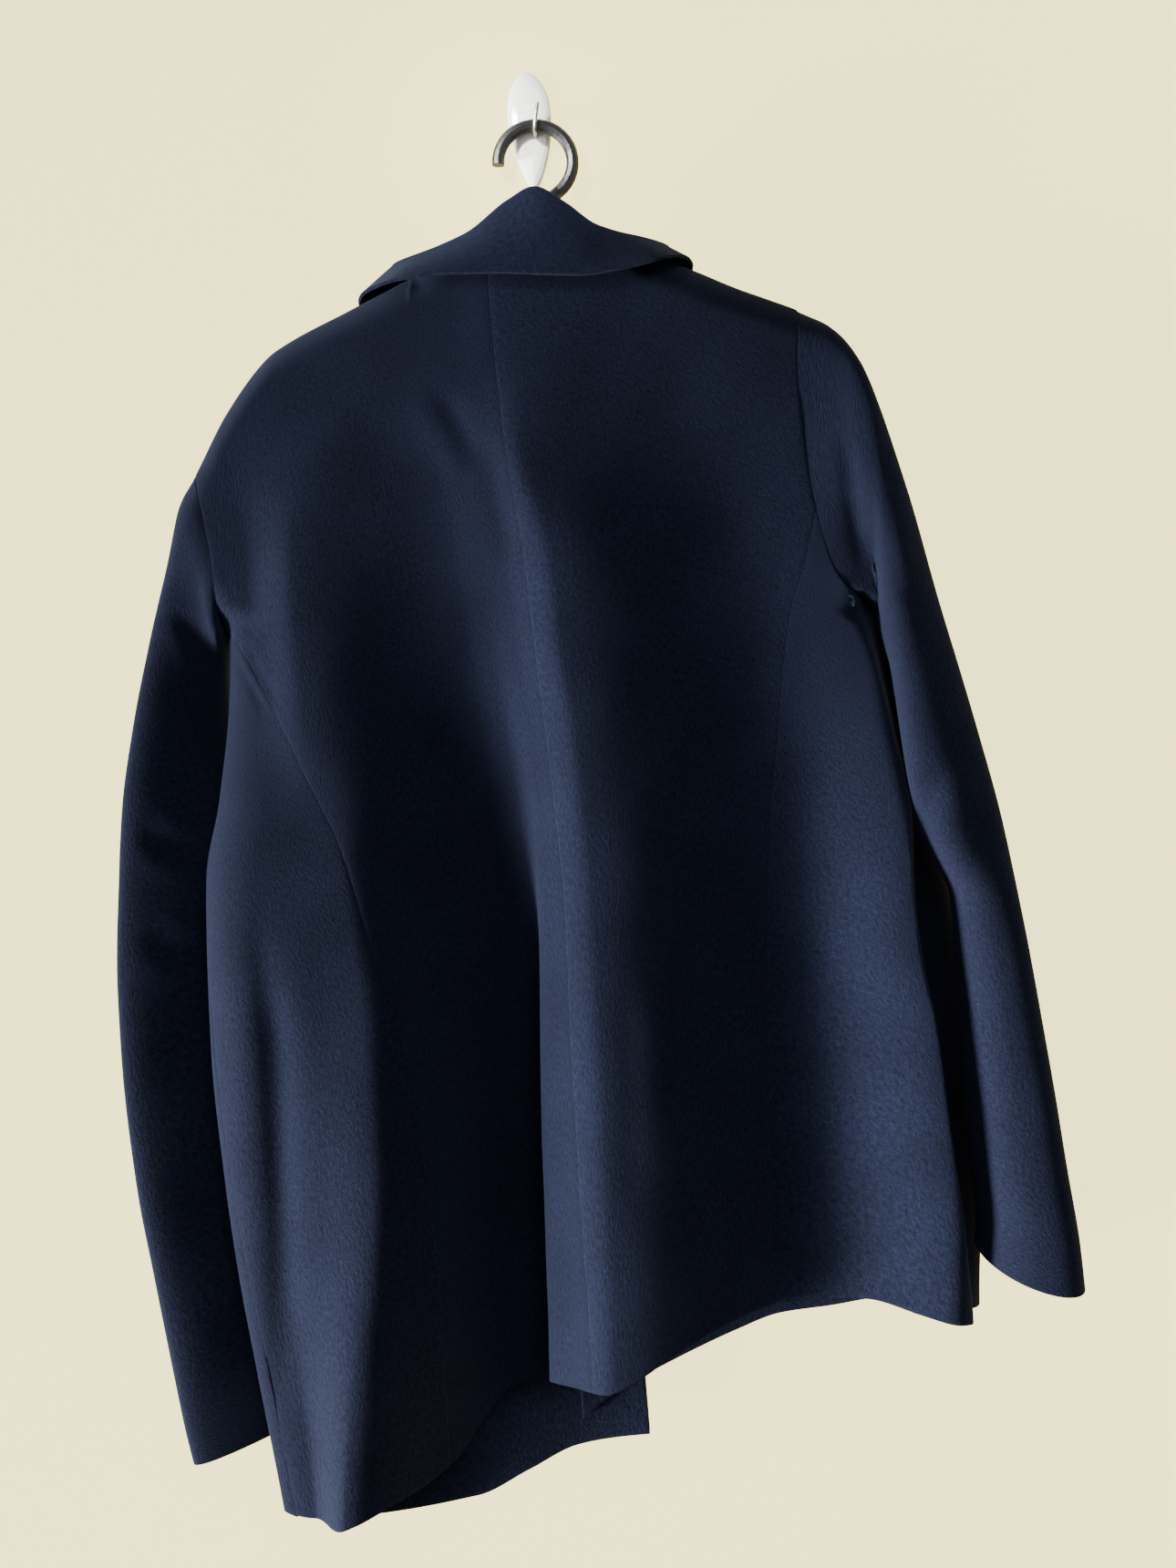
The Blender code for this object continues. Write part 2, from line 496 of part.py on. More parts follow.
def front_panel(u, v, side):
    """From the front edge, u = 0, to the armhole and the side seam, u = 1."""
    rim = RIM_LEFT if side < 0 else RIM_RIGHT
    armhole = ARMHOLE_LEFT if side < 0 else ARMHOLE_RIGHT
    seam = side_seam_left if side < 0 else side_seam_right
    shoulder = SHOULDER_LEFT if side < 0 else SHOULDER_RIGHT
    neck = NECK_FRONT_LEFT if side < 0 else NECK_FRONT_RIGHT
    edge = FRONT_EDGE_LEFT if side < 0 else FRONT_EDGE_RIGHT
    hem = HEM_FRONT_LEFT if side < 0 else HEM_FRONT_RIGHT
    underarm = armhole[-1][1]
    tip = armhole[0][0]

    def length(u, z):
        radius = by_height(RIM_ROUND_ROWS, 1, z)
        inner = -rim_length(np.abs(outline_x(rim, z) - by_height(edge, 1, z)), radius)
        arm = -rim_length(np.abs(outline_x(rim, z) - outline_x(armhole, z)), radius)
        outer = np.where(z > underarm, arm, seam(z))
        return inner + (outer - inner) * u

    def across(u, z):
        return place_at(rim, side, length(u, z), z)

    def top(u):
        start = edge[0][1]
        x = start + (tip - start) * u
        return x, top_height(x, neck, shoulder)

    x, z = panel_rows(u, v, top, hem, across)
    front = front_surface(x, z, front_lap(x, z) if side > 0 else 0.0)
    back = back_surface(x, z)
    return np.where((length(u, z) > 0.0)[..., None], back, front)


def sleeve(u, v, side):
    """A tube of rings. u runs round it from the outer side over the back, v from the armhole to the cuff."""
    rows = SLEEVE_LEFT if side < 0 else SLEEVE_RIGHT
    armhole = ARMHOLE_LEFT if side < 0 else ARMHOLE_RIGHT
    table = np.array(rows, dtype=float)
    steps = np.linspace(0.0, 1.0, len(rows))

    def ring(v):
        column = {n: curve_through(steps, table[:, i], v) for i, n in enumerate(SLEEVE_COLUMNS)}
        turn = 2.0 * pi * u
        along_x = np.cos(turn)
        share = 0.5 + 0.5 * along_x
        x = column["inner_x"] + (column["outer_x"] - column["inner_x"]) * share
        z = column["inner_z"] + (column["outer_z"] - column["inner_z"]) * share
        z = z - column["back_drop"] * np.maximum(np.sin(turn), 0.0)
        mid = 0.5 * (column["back_y"] + column["front_y"])
        half = 0.5 * (column["back_y"] - column["front_y"])
        across = np.sin(turn)
        inner, outer = SLEEVE_FLATNESS[side]
        bulge = np.sign(across) * np.abs(across) ** np.where(share < 0.5, inner, outer)
        depth = mid + half * bulge + column["lean"] * (1.0 - share)
        return np.stack([x, -depth, z], axis=-1)

    down = np.where(u < 0.5, 2.0 * u, 2.0 * (1.0 - u))
    arm_x, arm_z = along(armhole, down)
    seam = np.where((u < 0.5)[..., None], back_surface(arm_x, arm_z), front_surface(arm_x, arm_z, 0.0))
    ahead_x, ahead_z = along(armhole, np.clip(down + 0.01, 0.0, 1.0))
    behind_x, behind_z = along(armhole, np.clip(down - 0.01, 0.0, 1.0))
    run = np.hypot(ahead_x - behind_x, ahead_z - behind_z)
    gap = ARMHOLE_GAP + UNDERARM_GAP * smooth_step((down - 0.6) / 0.3)
    seam[..., 0] -= side * gap * (ahead_z - behind_z) / run
    seam[..., 2] += side * gap * (ahead_x - behind_x) / run
    blend_end = CAP_BLEND + (UNDERARM_BLEND - CAP_BLEND) * smooth_step((down - 0.45) / 0.4)
    fade = 1.0 - smooth_step(v / blend_end)
    depth_fade = 1.0 - smooth_step(v / CAP_BLEND)
    return ring(v) + (seam - ring(np.zeros_like(v))) * np.stack([fade, depth_fade, fade], axis=-1)


def neck_seam(u, seam_x):
    """Neckline of the panels under the collar, from the left front over the back to the right front."""
    left_end = COLLAR_LEFT_NECK / (len(COLLAR) - 1)
    right_end = COLLAR_RIGHT_NECK / (len(COLLAR) - 1)
    back = back_surface(seam_x, by_place(NECK_BACK, seam_x))
    left = front_surface(seam_x, by_place(NECK_FRONT_LEFT, seam_x), 0.0)
    right_z = by_place(NECK_FRONT_RIGHT, seam_x)
    right = front_surface(seam_x, right_z, front_lap(seam_x, right_z))
    seam = np.where((u < left_end)[..., None], left, np.where((u > right_end)[..., None], right, back))
    seam[..., 2] += COLLAR_LIFT
    return seam


def collar(u, v):
    """v runs from the neck seam up the stand, over the fold line and down the fall to its free edge."""
    table = np.array(COLLAR, dtype=float)
    steps = np.linspace(0.0, 1.0, len(COLLAR))
    column = {n: curve_through(steps, table[:, i], u) for i, n in enumerate(COLLAR_COLUMNS)}
    seam = neck_seam(u, column["seam_x"])
    fold = np.stack([column["fold_x"], -column["fold_y"], column["fold_z"] - CLOTH], axis=-1)
    edge = np.stack([column["edge_x"], -column["edge_y"], column["edge_z"]], axis=-1)
    outward = edge - seam
    outward[..., 2] = 0.0
    outward /= np.maximum(np.linalg.norm(outward, axis=-1, keepdims=True), 1.0e-6)
    edge = edge - outward * CLOTH
    half = COLLAR_FOLD_HALF
    lift = np.array([0.0, 0.0, 1.0])
    centre = fold - lift * half
    up = (v / STAND_END)[..., None]
    down = ((v - FALL_START) / (1.0 - FALL_START))[..., None]
    turn = (np.clip((v - STAND_END) / (FALL_START - STAND_END), 0.0, 1.0) * pi)[..., None]
    arc = centre - outward * half * np.cos(turn) + lift * half * np.sin(turn)
    fall = centre + outward * half + (edge - centre - outward * half) * down
    stand = seam + (centre - outward * half - seam) * up
    return np.where(up < 1.0, stand, np.where(down > 0.0, fall, arc))


def rows_at(top_z, hem_z, heights):
    """Row shares at which an edge that drops from top_z to hem_z passes the given heights."""
    v = np.linspace(0.0, 1.0, 4001)
    z = top_z - drop_down(v, top_z - hem_z)
    return np.interp(-np.asarray(heights), -z, v)


def edge_heights(top_z, hem_z, rows):
    return top_z - drop_down(np.asarray(rows), top_z - hem_z)


def hem_under(hem, across):
    """Height at which a seam that runs down the back meets the hem."""
    z = np.array([HEM_GUESS])
    for _ in range(HEM_STEPS):
        z = by_place(hem, across(z))
    return float(z[0])


def matched_rows(rows, side):
    """Rows of the back, side and front panels that meet at their common seams."""
    rim = RIM_LEFT if side < 0 else RIM_RIGHT
    armhole = ARMHOLE_LEFT if side < 0 else ARMHOLE_RIGHT
    outer = outer_left if side < 0 else outer_right
    seam = side_seam_left if side < 0 else side_seam_right
    hem_front = HEM_FRONT_LEFT if side < 0 else HEM_FRONT_RIGHT
    corner_z = CORNER_LEFT[1] if side < 0 else CORNER_RIGHT[1]
    tip_z = armhole[0][1]
    underarm_z = armhole[-1][1]
    seam_hem = hem_under(HEM_BACK, outer)
    corner_rows = list(rows_at(tip_z, seam_hem, [corner_z - drop for drop in CORNER_DROPS]))
    kept = [r for r in rows if abs(r - corner_rows[0]) > ROW_CLEARANCE]
    back_rows = np.array(sorted(kept + corner_rows))
    heights = edge_heights(tip_z, seam_hem, back_rows)
    side_rows = rows_at(corner_z, seam_hem, heights[heights <= corner_z + 1.0e-6])
    side_rows[0] = 0.0
    side_rows[-1] = 1.0
    rim_hem = hem_under(HEM_BACK, lambda z: place_at(rim, side, seam(z), z))
    front_hem = hem_under(hem_front, lambda z: place_at(rim, side, seam(z), z))
    rim_heights = edge_heights(underarm_z, rim_hem, side_rows)
    above = along(armhole, np.linspace(0.0, 1.0, RING_HALF + 1))[1][:-1]
    front_rows = rows_at(tip_z, front_hem, np.concatenate([above, rim_heights]))
    turn_rows = [r for r in rows if r < SHOULDER_SHARE - ROW_CLEARANCE]
    front_rows = np.concatenate([turn_rows, front_rows[front_rows > turn_rows[-1] + ROW_CLEARANCE]])
    front_rows[-1] = 1.0
    return back_rows, side_rows, front_rows


def grid_points(place, us, vs):
    """Outer points of a sheet and its normals, from small steps of its own surface."""
    u, v = np.meshgrid(us, vs)
    step = 1.0e-4
    points = place(u, v)
    du = place(np.clip(u + step, 0.0, 1.0), v) - place(np.clip(u - step, 0.0, 1.0), v)
    dv = place(u, np.clip(v + step, 0.0, 1.0)) - place(u, np.clip(v - step, 0.0, 1.0))
    normals = np.cross(du, dv)
    normals /= np.maximum(np.linalg.norm(normals, axis=-1, keepdims=True), 1.0e-12)
    return points, normals


def draw_back_edges(points, closed):
    """Half the seam gap is taken from each free edge."""
    def pull(edge, inner):
        way = inner - edge
        way /= np.maximum(np.linalg.norm(way, axis=-1, keepdims=True), 1.0e-9)
        return edge + way * 0.5 * SEAM_GAP

    moved = points.copy()
    moved[0] = pull(points[0], points[1])
    moved[-1] = pull(points[-1], points[-2])
    if not closed:
        moved[:, 0] = pull(moved[:, 0], moved[:, 1])
        moved[:, -1] = pull(moved[:, -1], moved[:, -2])
    return moved


def cloth_wall(name, place, us, vs, material, group, closed=False, inward=1.0):
    """A sheet of cloth as one closed wall: a grid laid on the surface and extruded by its thickness."""
    points, normals = grid_points(place, us, vs)
    points = draw_back_edges(points, closed)
    inner = points + normals * CLOTH * inward
    if closed:
        points = points[:, :-1]
        inner = inner[:, :-1]
    rows, columns = points.shape[:2]
    around = columns if closed else columns - 1
    mesh = bpy.data.meshes.new(name)
    bm = bmesh.new()
    row_of = bm.verts.layers.int.new("row")
    column_of = bm.verts.layers.int.new("column")
    bmesh.ops.create_grid(bm, x_segments=around, y_segments=rows - 1, size=0.5)
    for vert in bm.verts:
        i = round((vert.co.y + 0.5) * (rows - 1))
        j = round((vert.co.x + 0.5) * around) % columns
        vert[row_of] = i
        vert[column_of] = j
        vert.co = points[i, j] * MM
    if closed:
        bmesh.ops.remove_doubles(bm, verts=bm.verts[:], dist=1.0e-7)
    skin = bmesh.ops.extrude_face_region(bm, geom=bm.faces[:])
    for vert in skin["geom"]:
        if isinstance(vert, bmesh.types.BMVert):
            vert.co = inner[vert[row_of], vert[column_of]] * MM
    bmesh.ops.recalc_face_normals(bm, faces=bm.faces[:])
    bm.to_mesh(mesh)
    bm.free()
    mesh.materials.append(material)
    mesh.shade_smooth()
    mesh.set_sharp_from_angle(angle=radians(50.0))
    piece = bpy.data.objects.new(name, mesh)
    group.objects.link(piece)
    return piece


def rod(name, path, thickness, material, group, resolution=3):
    """A round rod along a path, with closed ends, as a mesh."""
    curve = bpy.data.curves.new(name, "CURVE")
    curve.dimensions = "3D"
    curve.bevel_depth = 0.5 * thickness * MM
    curve.bevel_resolution = resolution
    curve.use_fill_caps = True
    spline = curve.splines.new("POLY")
    spline.points.add(len(path) - 1)
    for point, (x, y, z) in zip(spline.points, path):
        point.co = (x * MM, y * MM, z * MM, 1.0)
    guide = bpy.data.objects.new(name + "_path", curve)
    group.objects.link(guide)
    bpy.context.view_layer.update()
    mesh = bpy.data.meshes.new_from_object(guide.evaluated_get(bpy.context.evaluated_depsgraph_get()))
    bpy.data.objects.remove(guide, do_unlink=True)
    bm = bmesh.new()
    bm.from_mesh(mesh)
    bmesh.ops.remove_doubles(bm, verts=bm.verts[:], dist=1.0e-6)
    bmesh.ops.recalc_face_normals(bm, faces=bm.faces[:])
    bm.to_mesh(mesh)
    bm.free()
    mesh.materials.clear()
    mesh.materials.append(material)
    mesh.shade_smooth()
    mesh.set_sharp_from_angle(angle=radians(40.0))
    mesh.name = name
    piece = bpy.data.objects.new(name, mesh)
    group.objects.link(piece)
    return piece


def hook_path():
    """Three quarters of a ring, then the stem that swings back under its middle."""
    cx, cy, cz = HOOK_CENTRE
    ring = [radians(a) for a in np.linspace(HOOK_TIP_ANGLE, HOOK_STEM_ANGLE, 25)]
    path = [(cx + HOOK_RADIUS * cos(a), cy, cz + HOOK_RADIUS * sin(a)) for a in ring]
    stem = [(13.0, -14.5, -50.5), (7.0, -18.5, -56.5), (3.6, -23.5, -62.5), (2.4, -29.0, -69.0),
            (2.0, -33.5, -76.5)]
    return path + stem


def arms_path():
    """Both arms of the hanger, higher at the right, curved a little towards the wall."""
    left = [(-170.0, -34.5, -178.0), (-160.0, -34.0, -171.0), (-139.0, -33.5, -159.0), (-98.0, -34.0, -137.0),
            (-76.0, -34.5, -124.5), (-52.0, -34.5, -110.0), (-22.0, -34.0, -91.5)]
    middle = [(-8.0, -34.0, -82.0), (2.0, -34.0, -78.5), (12.0, -34.0, -80.0)]
    right = [(32.0, -34.0, -90.0), (60.0, -34.0, -103.0), (82.0, -34.0, -112.0), (105.0, -34.0, -120.0),
             (146.0, -34.5, -134.5), (172.0, -36.0, -147.0), (188.0, -37.5, -158.0)]
    return left + middle + right


def build_hanger(material, group, cutters):
    hanger = rod("hanger", arms_path(), ARM_THICK, material, group, resolution=3)
    hook = rod("hanger_hook", hook_path(), HOOK_ROD, material, cutters, resolution=3)
    hook.hide_render = True
    hook.display_type = "WIRE"
    join = hanger.modifiers.new("hook joined", "BOOLEAN")
    join.operation = "UNION"
    join.object = hook
    return hanger


def plate_half_width(t):
    """Half width of the leaf-shaped plate at share t of its height, measured from the lower tip."""
    widest = 0.625
    if t < widest:
        return 0.5 * PLATE_WIDTH * (1.0 - ((widest - t) / widest) ** 1.9) ** 0.86
    return 0.5 * PLATE_WIDTH * (1.0 - ((t - widest) / (1.0 - widest)) ** 2.3) ** 0.56


def build_plate(material, group):
    """Flat back on the wall, a flat rim and a domed face, laid out as rings drawn in from the outline."""
    count = 26
    shares = [0.5 - 0.5 * cos(pi * i / count) for i in range(count + 1)]
    side = [(plate_half_width(t), (t - 0.5) * PLATE_HEIGHT) for t in shares[1:-1]]
    low = (0.0, -0.5 * PLATE_HEIGHT)
    high = (0.0, 0.5 * PLATE_HEIGHT)
    outline = [low] + side + [high] + [(-x, z) for x, z in reversed(side)]
    shape = [(0.0, 1.0), (1.8, 1.0), (3.4, 0.93), (4.7, 0.78), (5.6, 0.55), (6.05, 0.28)]
    bm = bmesh.new()
    rings = []
    for depth, scale in shape:
        ring = []
        for x, z in outline:
            sx = x * scale
            sz = z * scale
            tx = sx * cos(PLATE_TILT) - sz * sin(PLATE_TILT)
            tz = sx * sin(PLATE_TILT) + sz * cos(PLATE_TILT)
            ring.append(bm.verts.new((tx * MM, -depth * MM, tz * MM)))
        rings.append(ring)
    loops = []
    for ring in rings:
        edges = [bm.edges.new((ring[i], ring[(i + 1) % len(ring)])) for i in range(len(ring))]
        loops.append(edges)
    for lower, upper in zip(loops[:-1], loops[1:]):
        bmesh.ops.bridge_loops(bm, edges=lower + upper)
    bm.faces.new(rings[0])
    tip = bm.verts.new((0.0, -PLATE_THICK * MM, 0.0))
    last = rings[-1]
    for i, vert in enumerate(last):
        bm.faces.new((vert, last[(i + 1) % len(last)], tip))
    bmesh.ops.recalc_face_normals(bm, faces=bm.faces[:])
    mesh = bpy.data.meshes.new("wall_plate")
    bm.to_mesh(mesh)
    bm.free()
    mesh.materials.append(material)
    mesh.shade_smooth()
    mesh.set_sharp_from_angle(angle=radians(50.0))
    piece = bpy.data.objects.new("wall_plate", mesh)
    group.objects.link(piece)
    return piece


def wire_path():
    """Out of the plate under the hanger's rod, then up in front of it to the tip."""
    root_y = -(PLATE_THICK + 0.15)
    low = -4.3
    front = -17.4
    bend = 2.2
    path = [(3.4, root_y, low), (3.4, front + bend, low)]
    for a in (30.0, 60.0, 90.0):
        turn = radians(a)
        path.append((3.4, front + bend * (1.0 - sin(turn)), low + bend * (1.0 - cos(turn))))
    path += [(3.8, front, 4.0), (4.6, front, 10.0), (5.2, front + 0.4, 14.6)]
    return path


def build():
    clear_scene()
    group = make_collection("jacket_on_wall_hook")
    cutters = make_collection("cutters")
    wool = make_material("navy_wool", NAVY)
    black = make_material("black_plastic", BLACK_PLASTIC)
    white = make_material("white_plastic", WHITE_PLASTIC)
    steel = make_material("steel_wire", STEEL, metallic=1.0)

    rows = [0.0, 0.045, 0.09, 0.13] + list(np.linspace(0.13, 1.0, 22))[1:]
    fold_columns = [0.0, 0.05, 0.10, 0.15, 0.20, 0.26, 0.33, 0.42, 0.52, 0.62, 0.72, 0.81, 0.88, 0.94, 1.0]
    even_columns = list(np.linspace(0.0, 1.0, 11))
    side_columns = [0.0, 0.14, 0.28, 0.42, 0.54, 0.60, 0.65, 0.69, 0.73, 0.80, 0.90, 1.0]
    front_columns = [0.0, 0.09, 0.18, 0.27, 0.36, 0.45, 0.56, 0.68, 0.78, 0.85, 0.895, 0.93, 0.955, 0.98, 1.0]
    ring_columns = list(np.linspace(0.0, 1.0, 2 * RING_HALF + 1))
    sleeve_rows = list(np.linspace(0.0, 0.3, 8)) + list(np.linspace(0.3, 1.0, 15))[1:]
    collar_columns = list(np.linspace(0.0, 1.0, 55))
    collar_rows = [0.0, 0.15, 0.30, 0.34, 0.38, 0.42, 0.46, 0.64, 0.82, 1.0]

    backs = (("left", -1.0, fold_columns, outer_left, SHOULDER_LEFT),
             ("right", 1.0, even_columns, outer_right, SHOULDER_RIGHT))
    for name, side, columns, outer, shoulder in backs:
        back_rows, side_rows, front_rows = matched_rows(rows, side)
        cloth_wall("back_" + name, lambda u, v: back_panel(u, v, outer, NECK_BACK, shoulder),
                   columns, back_rows, wool, group, inward=side)
        cloth_wall("side_back_" + name, lambda u, v: side_back_panel(u, v, side),
                   side_columns, side_rows, wool, group, inward=side)
        cloth_wall("front_" + name, lambda u, v: front_panel(u, v, side),
                   front_columns, front_rows, wool, group, inward=-side)
        cloth_wall("sleeve_" + name, lambda u, v: sleeve(u, v, side),
                   ring_columns, sleeve_rows, wool, group, closed=True, inward=-side)
    cloth_wall("collar", collar, collar_columns, collar_rows, wool, group, inward=-1.0)
    build_hanger(black, group, cutters)
    build_plate(white, group)
    rod("wire_hook", wire_path(), WIRE_THICK, steel, group, resolution=2)


build()
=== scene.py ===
from math import cos, pi, radians, sin

import bmesh
import bpy
import numpy as np
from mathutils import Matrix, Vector


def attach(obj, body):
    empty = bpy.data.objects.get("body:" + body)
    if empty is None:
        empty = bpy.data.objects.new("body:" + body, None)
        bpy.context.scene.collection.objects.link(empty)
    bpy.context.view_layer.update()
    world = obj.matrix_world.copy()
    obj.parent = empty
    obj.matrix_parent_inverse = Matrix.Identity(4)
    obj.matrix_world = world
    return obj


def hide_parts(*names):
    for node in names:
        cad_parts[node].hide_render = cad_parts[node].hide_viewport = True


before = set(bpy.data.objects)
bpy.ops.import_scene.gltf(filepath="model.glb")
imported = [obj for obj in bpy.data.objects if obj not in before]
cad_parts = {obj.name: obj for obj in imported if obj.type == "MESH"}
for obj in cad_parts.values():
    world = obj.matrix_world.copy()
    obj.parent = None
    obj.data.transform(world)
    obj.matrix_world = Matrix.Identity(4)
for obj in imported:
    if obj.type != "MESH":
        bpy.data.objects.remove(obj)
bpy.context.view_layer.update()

# Wall plate. A leaf-shaped plate of glossy white plastic, moulded, and stuck to the wall by its flat back.
# Its moulded surface is not quite even, so its gloss wavers a little.
WHITE_PLASTIC = (0.93, 0.93, 0.90, 1.0)


def new_material(name, roughness, metallic=0.0, specular=0.5):
    """A material with a Principled shader, its node tree and the shader."""
    material = bpy.data.materials.new(name)
    material.use_nodes = True
    tree = material.node_tree
    shader = tree.nodes["Principled BSDF"]
    shader.inputs["Roughness"].default_value = roughness
    shader.inputs["Metallic"].default_value = metallic
    shader.inputs["Specular IOR Level"].default_value = specular
    return material, tree, shader


def node(tree, kind, **inputs):
    """A shader node. Keyword names are its inputs' names with _ for a blank, in lower case."""
    made = tree.nodes.new(kind)
    for socket in made.inputs:
        key = socket.name.lower().replace(" ", "_")
        if key in inputs:
            socket.default_value = inputs.pop(key)
    if inputs:
        raise ValueError(f"{kind} has no input {sorted(inputs)}")
    return made


def moulded_group():
    """Fine unevenness of a moulded surface: a height and a small change of gloss."""
    group = bpy.data.node_groups.new("moulded surface", "ShaderNodeTree")
    sockets = group.interface
    for label, usual in (("Grain scale", 900.0), ("Roughness low", 0.2), ("Roughness high", 0.3)):
        socket = sockets.new_socket(label, in_out="INPUT", socket_type="NodeSocketFloat")
        socket.default_value = usual
    for label in ("Roughness", "Height"):
        sockets.new_socket(label, in_out="OUTPUT", socket_type="NodeSocketFloat")
    given = group.nodes.new("NodeGroupInput")
    result = group.nodes.new("NodeGroupOutput")
    place = group.nodes.new("ShaderNodeTexCoord")
    grain = node(group, "ShaderNodeTexNoise", detail=3.0, roughness=0.6)
    wave = node(group, "ShaderNodeTexNoise", scale=70.0, detail=2.0)
    gloss = node(group, "ShaderNodeMapRange", from_min=0.3, from_max=0.7)
    group.links.new(place.outputs["Object"], grain.inputs["Vector"])
    group.links.new(place.outputs["Object"], wave.inputs["Vector"])
    group.links.new(given.outputs["Grain scale"], grain.inputs["Scale"])
    group.links.new(wave.outputs["Fac"], gloss.inputs["Value"])
    group.links.new(given.outputs["Roughness low"], gloss.inputs["To Min"])
    group.links.new(given.outputs["Roughness high"], gloss.inputs["To Max"])
    group.links.new(gloss.outputs["Result"], result.inputs["Roughness"])
    group.links.new(grain.outputs["Fac"], result.inputs["Height"])
    return group


MOULDED = moulded_group()


def plastic(name, colour, low, high, grain_scale, grain_height):
    """A moulded plastic with its own gloss range and grain."""
    material, tree, shader = new_material(name, roughness=low)
    shader.inputs["Base Color"].default_value = colour
    surface = tree.nodes.new("ShaderNodeGroup")
    surface.node_tree = MOULDED
    surface.inputs["Grain scale"].default_value = grain_scale
    surface.inputs["Roughness low"].default_value = low
    surface.inputs["Roughness high"].default_value = high
    bump = node(tree, "ShaderNodeBump", strength=0.35, distance=grain_height)
    tree.links.new(surface.outputs["Roughness"], shader.inputs["Roughness"])
    tree.links.new(surface.outputs["Height"], bump.inputs["Height"])
    tree.links.new(bump.outputs["Normal"], shader.inputs["Normal"])
    return material


def dress(name, material):
    """Gives a CAD node that stays as it is its finished material."""
    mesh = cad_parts[name].data
    mesh.materials.clear()
    mesh.materials.append(material)


dress("wall_plate", plastic("white_plastic", WHITE_PLASTIC, low=0.12, high=0.20, grain_scale=260.0,
                            grain_height=0.00004))

# Wire hook. A round steel wire, bent twice, that comes out of the plate and turns up in front of the hanger.
# It is drawn wire, bright, with fine marks that make its gloss uneven.
STEEL = (0.62, 0.62, 0.60, 1.0)


def drawn_steel():
    """Bright steel, rougher and smoother in fine marks."""
    material, tree, shader = new_material("steel_wire", roughness=0.24, metallic=1.0)
    shader.inputs["Base Color"].default_value = STEEL
    place = tree.nodes.new("ShaderNodeTexCoord")
    marks = node(tree, "ShaderNodeTexNoise", scale=3200.0, detail=2.0)
    worn = node(tree, "ShaderNodeMapRange", from_min=0.3, from_max=0.7, to_min=0.18, to_max=0.34)
    tree.links.new(place.outputs["Object"], marks.inputs["Vector"])
    tree.links.new(marks.outputs["Fac"], worn.inputs["Value"])
    tree.links.new(worn.outputs["Result"], shader.inputs["Roughness"])
    return material


dress("wire_hook", drawn_steel())

# Hanger. One moulding of black plastic: a hook, a short stem and two arms that run down under the shoulders.
# Its rod is satin, with a fine grain from the mould.
BLACK_PLASTIC = (0.008, 0.008, 0.009, 1.0)

dress("hanger", plastic("black_plastic", BLACK_PLASTIC, low=0.30, high=0.42, grain_scale=1400.0,
                        grain_height=0.00005))

# Back. Two middle panels of thick navy wool, cut with a centre-back seam and joined to the side panels by
# curved seams. The seams are pressed open and have no topstitching, so each shows as a soft groove.
# The cloth is worked out in millimetres: outlines list x and z, seams list height and place across.
MM = 0.001
CLOTH = 2.2
CLOTH_EDGE_ROUND = 0.22
CLOTH_EDGE_ANGLE = 50.0
FIBRE_DARK = (0.0022, 0.0032, 0.0088, 1.0)
FIBRE_LIGHT = (0.0108, 0.0139, 0.0318, 1.0)
SHEEN_BLUE = (0.30, 0.38, 0.70, 1.0)
# SWELL_RUN, SHOULDER_SHARE and TOP_FADE are shares of a piece's length. RELIEF_TURN is the cosine of the turn
# past which creases fade out, towards where the cloth stands edge-on.
GRID_STEP = 3.0
MERGE_DISTANCE = 1.0e-6
ROW_CROWDING = 0.35
SEAM_OVERLAP = 0.04
SEAM_SINK = 0.25
SEAM_ROLL = 2.6
SEAM_ROLL_POWER = 1.5
SWELL_RUN = 0.09
RELIEF_TURN = 0.5
WAVINESS = 0.5
ROUND_SHOULDER = 26.0
SHOULDER_SHARE = 0.13
HEM_GUESS = -850.0
SEARCH_STEPS = 6
TOP_FADE = 0.35
OUTLINE_STEP = 0.05
RIM_CLEARANCE = 6.0
SHOULDER_LEFT = [(-77, -110), (-120.6, -133), (-167.7, -159.4), (-176.5, -168), (-198.5, -201),
                 (-219, -243)]
SHOULDER_RIGHT = [(87, -97.5), (106.4, -103.8), (139.6, -117.1), (178, -130.5)]
NECK_BACK = [(-77, -110), (-50, -102), (-24, -97), (4, -94.5), (45, -94), (87, -97.5)]
ARMHOLE_LEFT = [(-219, -243), (-212.4, -256), (-205.3, -284), (-201.2, -306), (-199, -331), (-196.6, -346),
                (-196, -352)]
ARMHOLE_RIGHT = [(178, -130.5), (175.9, -172), (178.2, -214), (183.5, -253), (186.4, -268), (190, -284),
                 (199.4, -311.5), (210, -322), (224.7, -327)]
RIM_LEFT = [(-219, -243), (-229, -268), (-228, -300), (-214, -332), (-196, -352), (-194, -398),
            (-197.5, -454), (-204.5, -505), (-204, -540), (-201, -618), (-193, -695), (-184, -758),
            (-172, -822), (-158, -893), (-151, -930)]
RIM_RIGHT = [(178, -130.5), (205, -146), (222, -180), (233, -240), (236, -290), (224.7, -327),
             (235.5, -342), (246, -366), (257, -408), (266, -450), (278, -500), (287, -550), (295, -625),
             (300, -680), (302, -722), (301, -750), (299.5, -785), (300, -830)]
CORNER_LEFT = (-196.6, -346)
CORNER_RIGHT = (186.4, -268)
CENTRE_BACK_SEAM = [(-90, -27.5), (-130, -24.7), (-220, -15), (-294, -3), (-390, 9.1), (-472, 19.5),
                    (-526, 24.5), (-629, 29.7), (-736, 36.5), (-795, 40.5), (-860, 43)]
SIDE_BACK_SEAM_LEFT = [(-346, -196.6), (-358, -183.5), (-400, -159), (-452, -132.4), (-483, -116.7),
                       (-543, -97), (-599, -77), (-680, -63), (-780, -53), (-910, -48)]
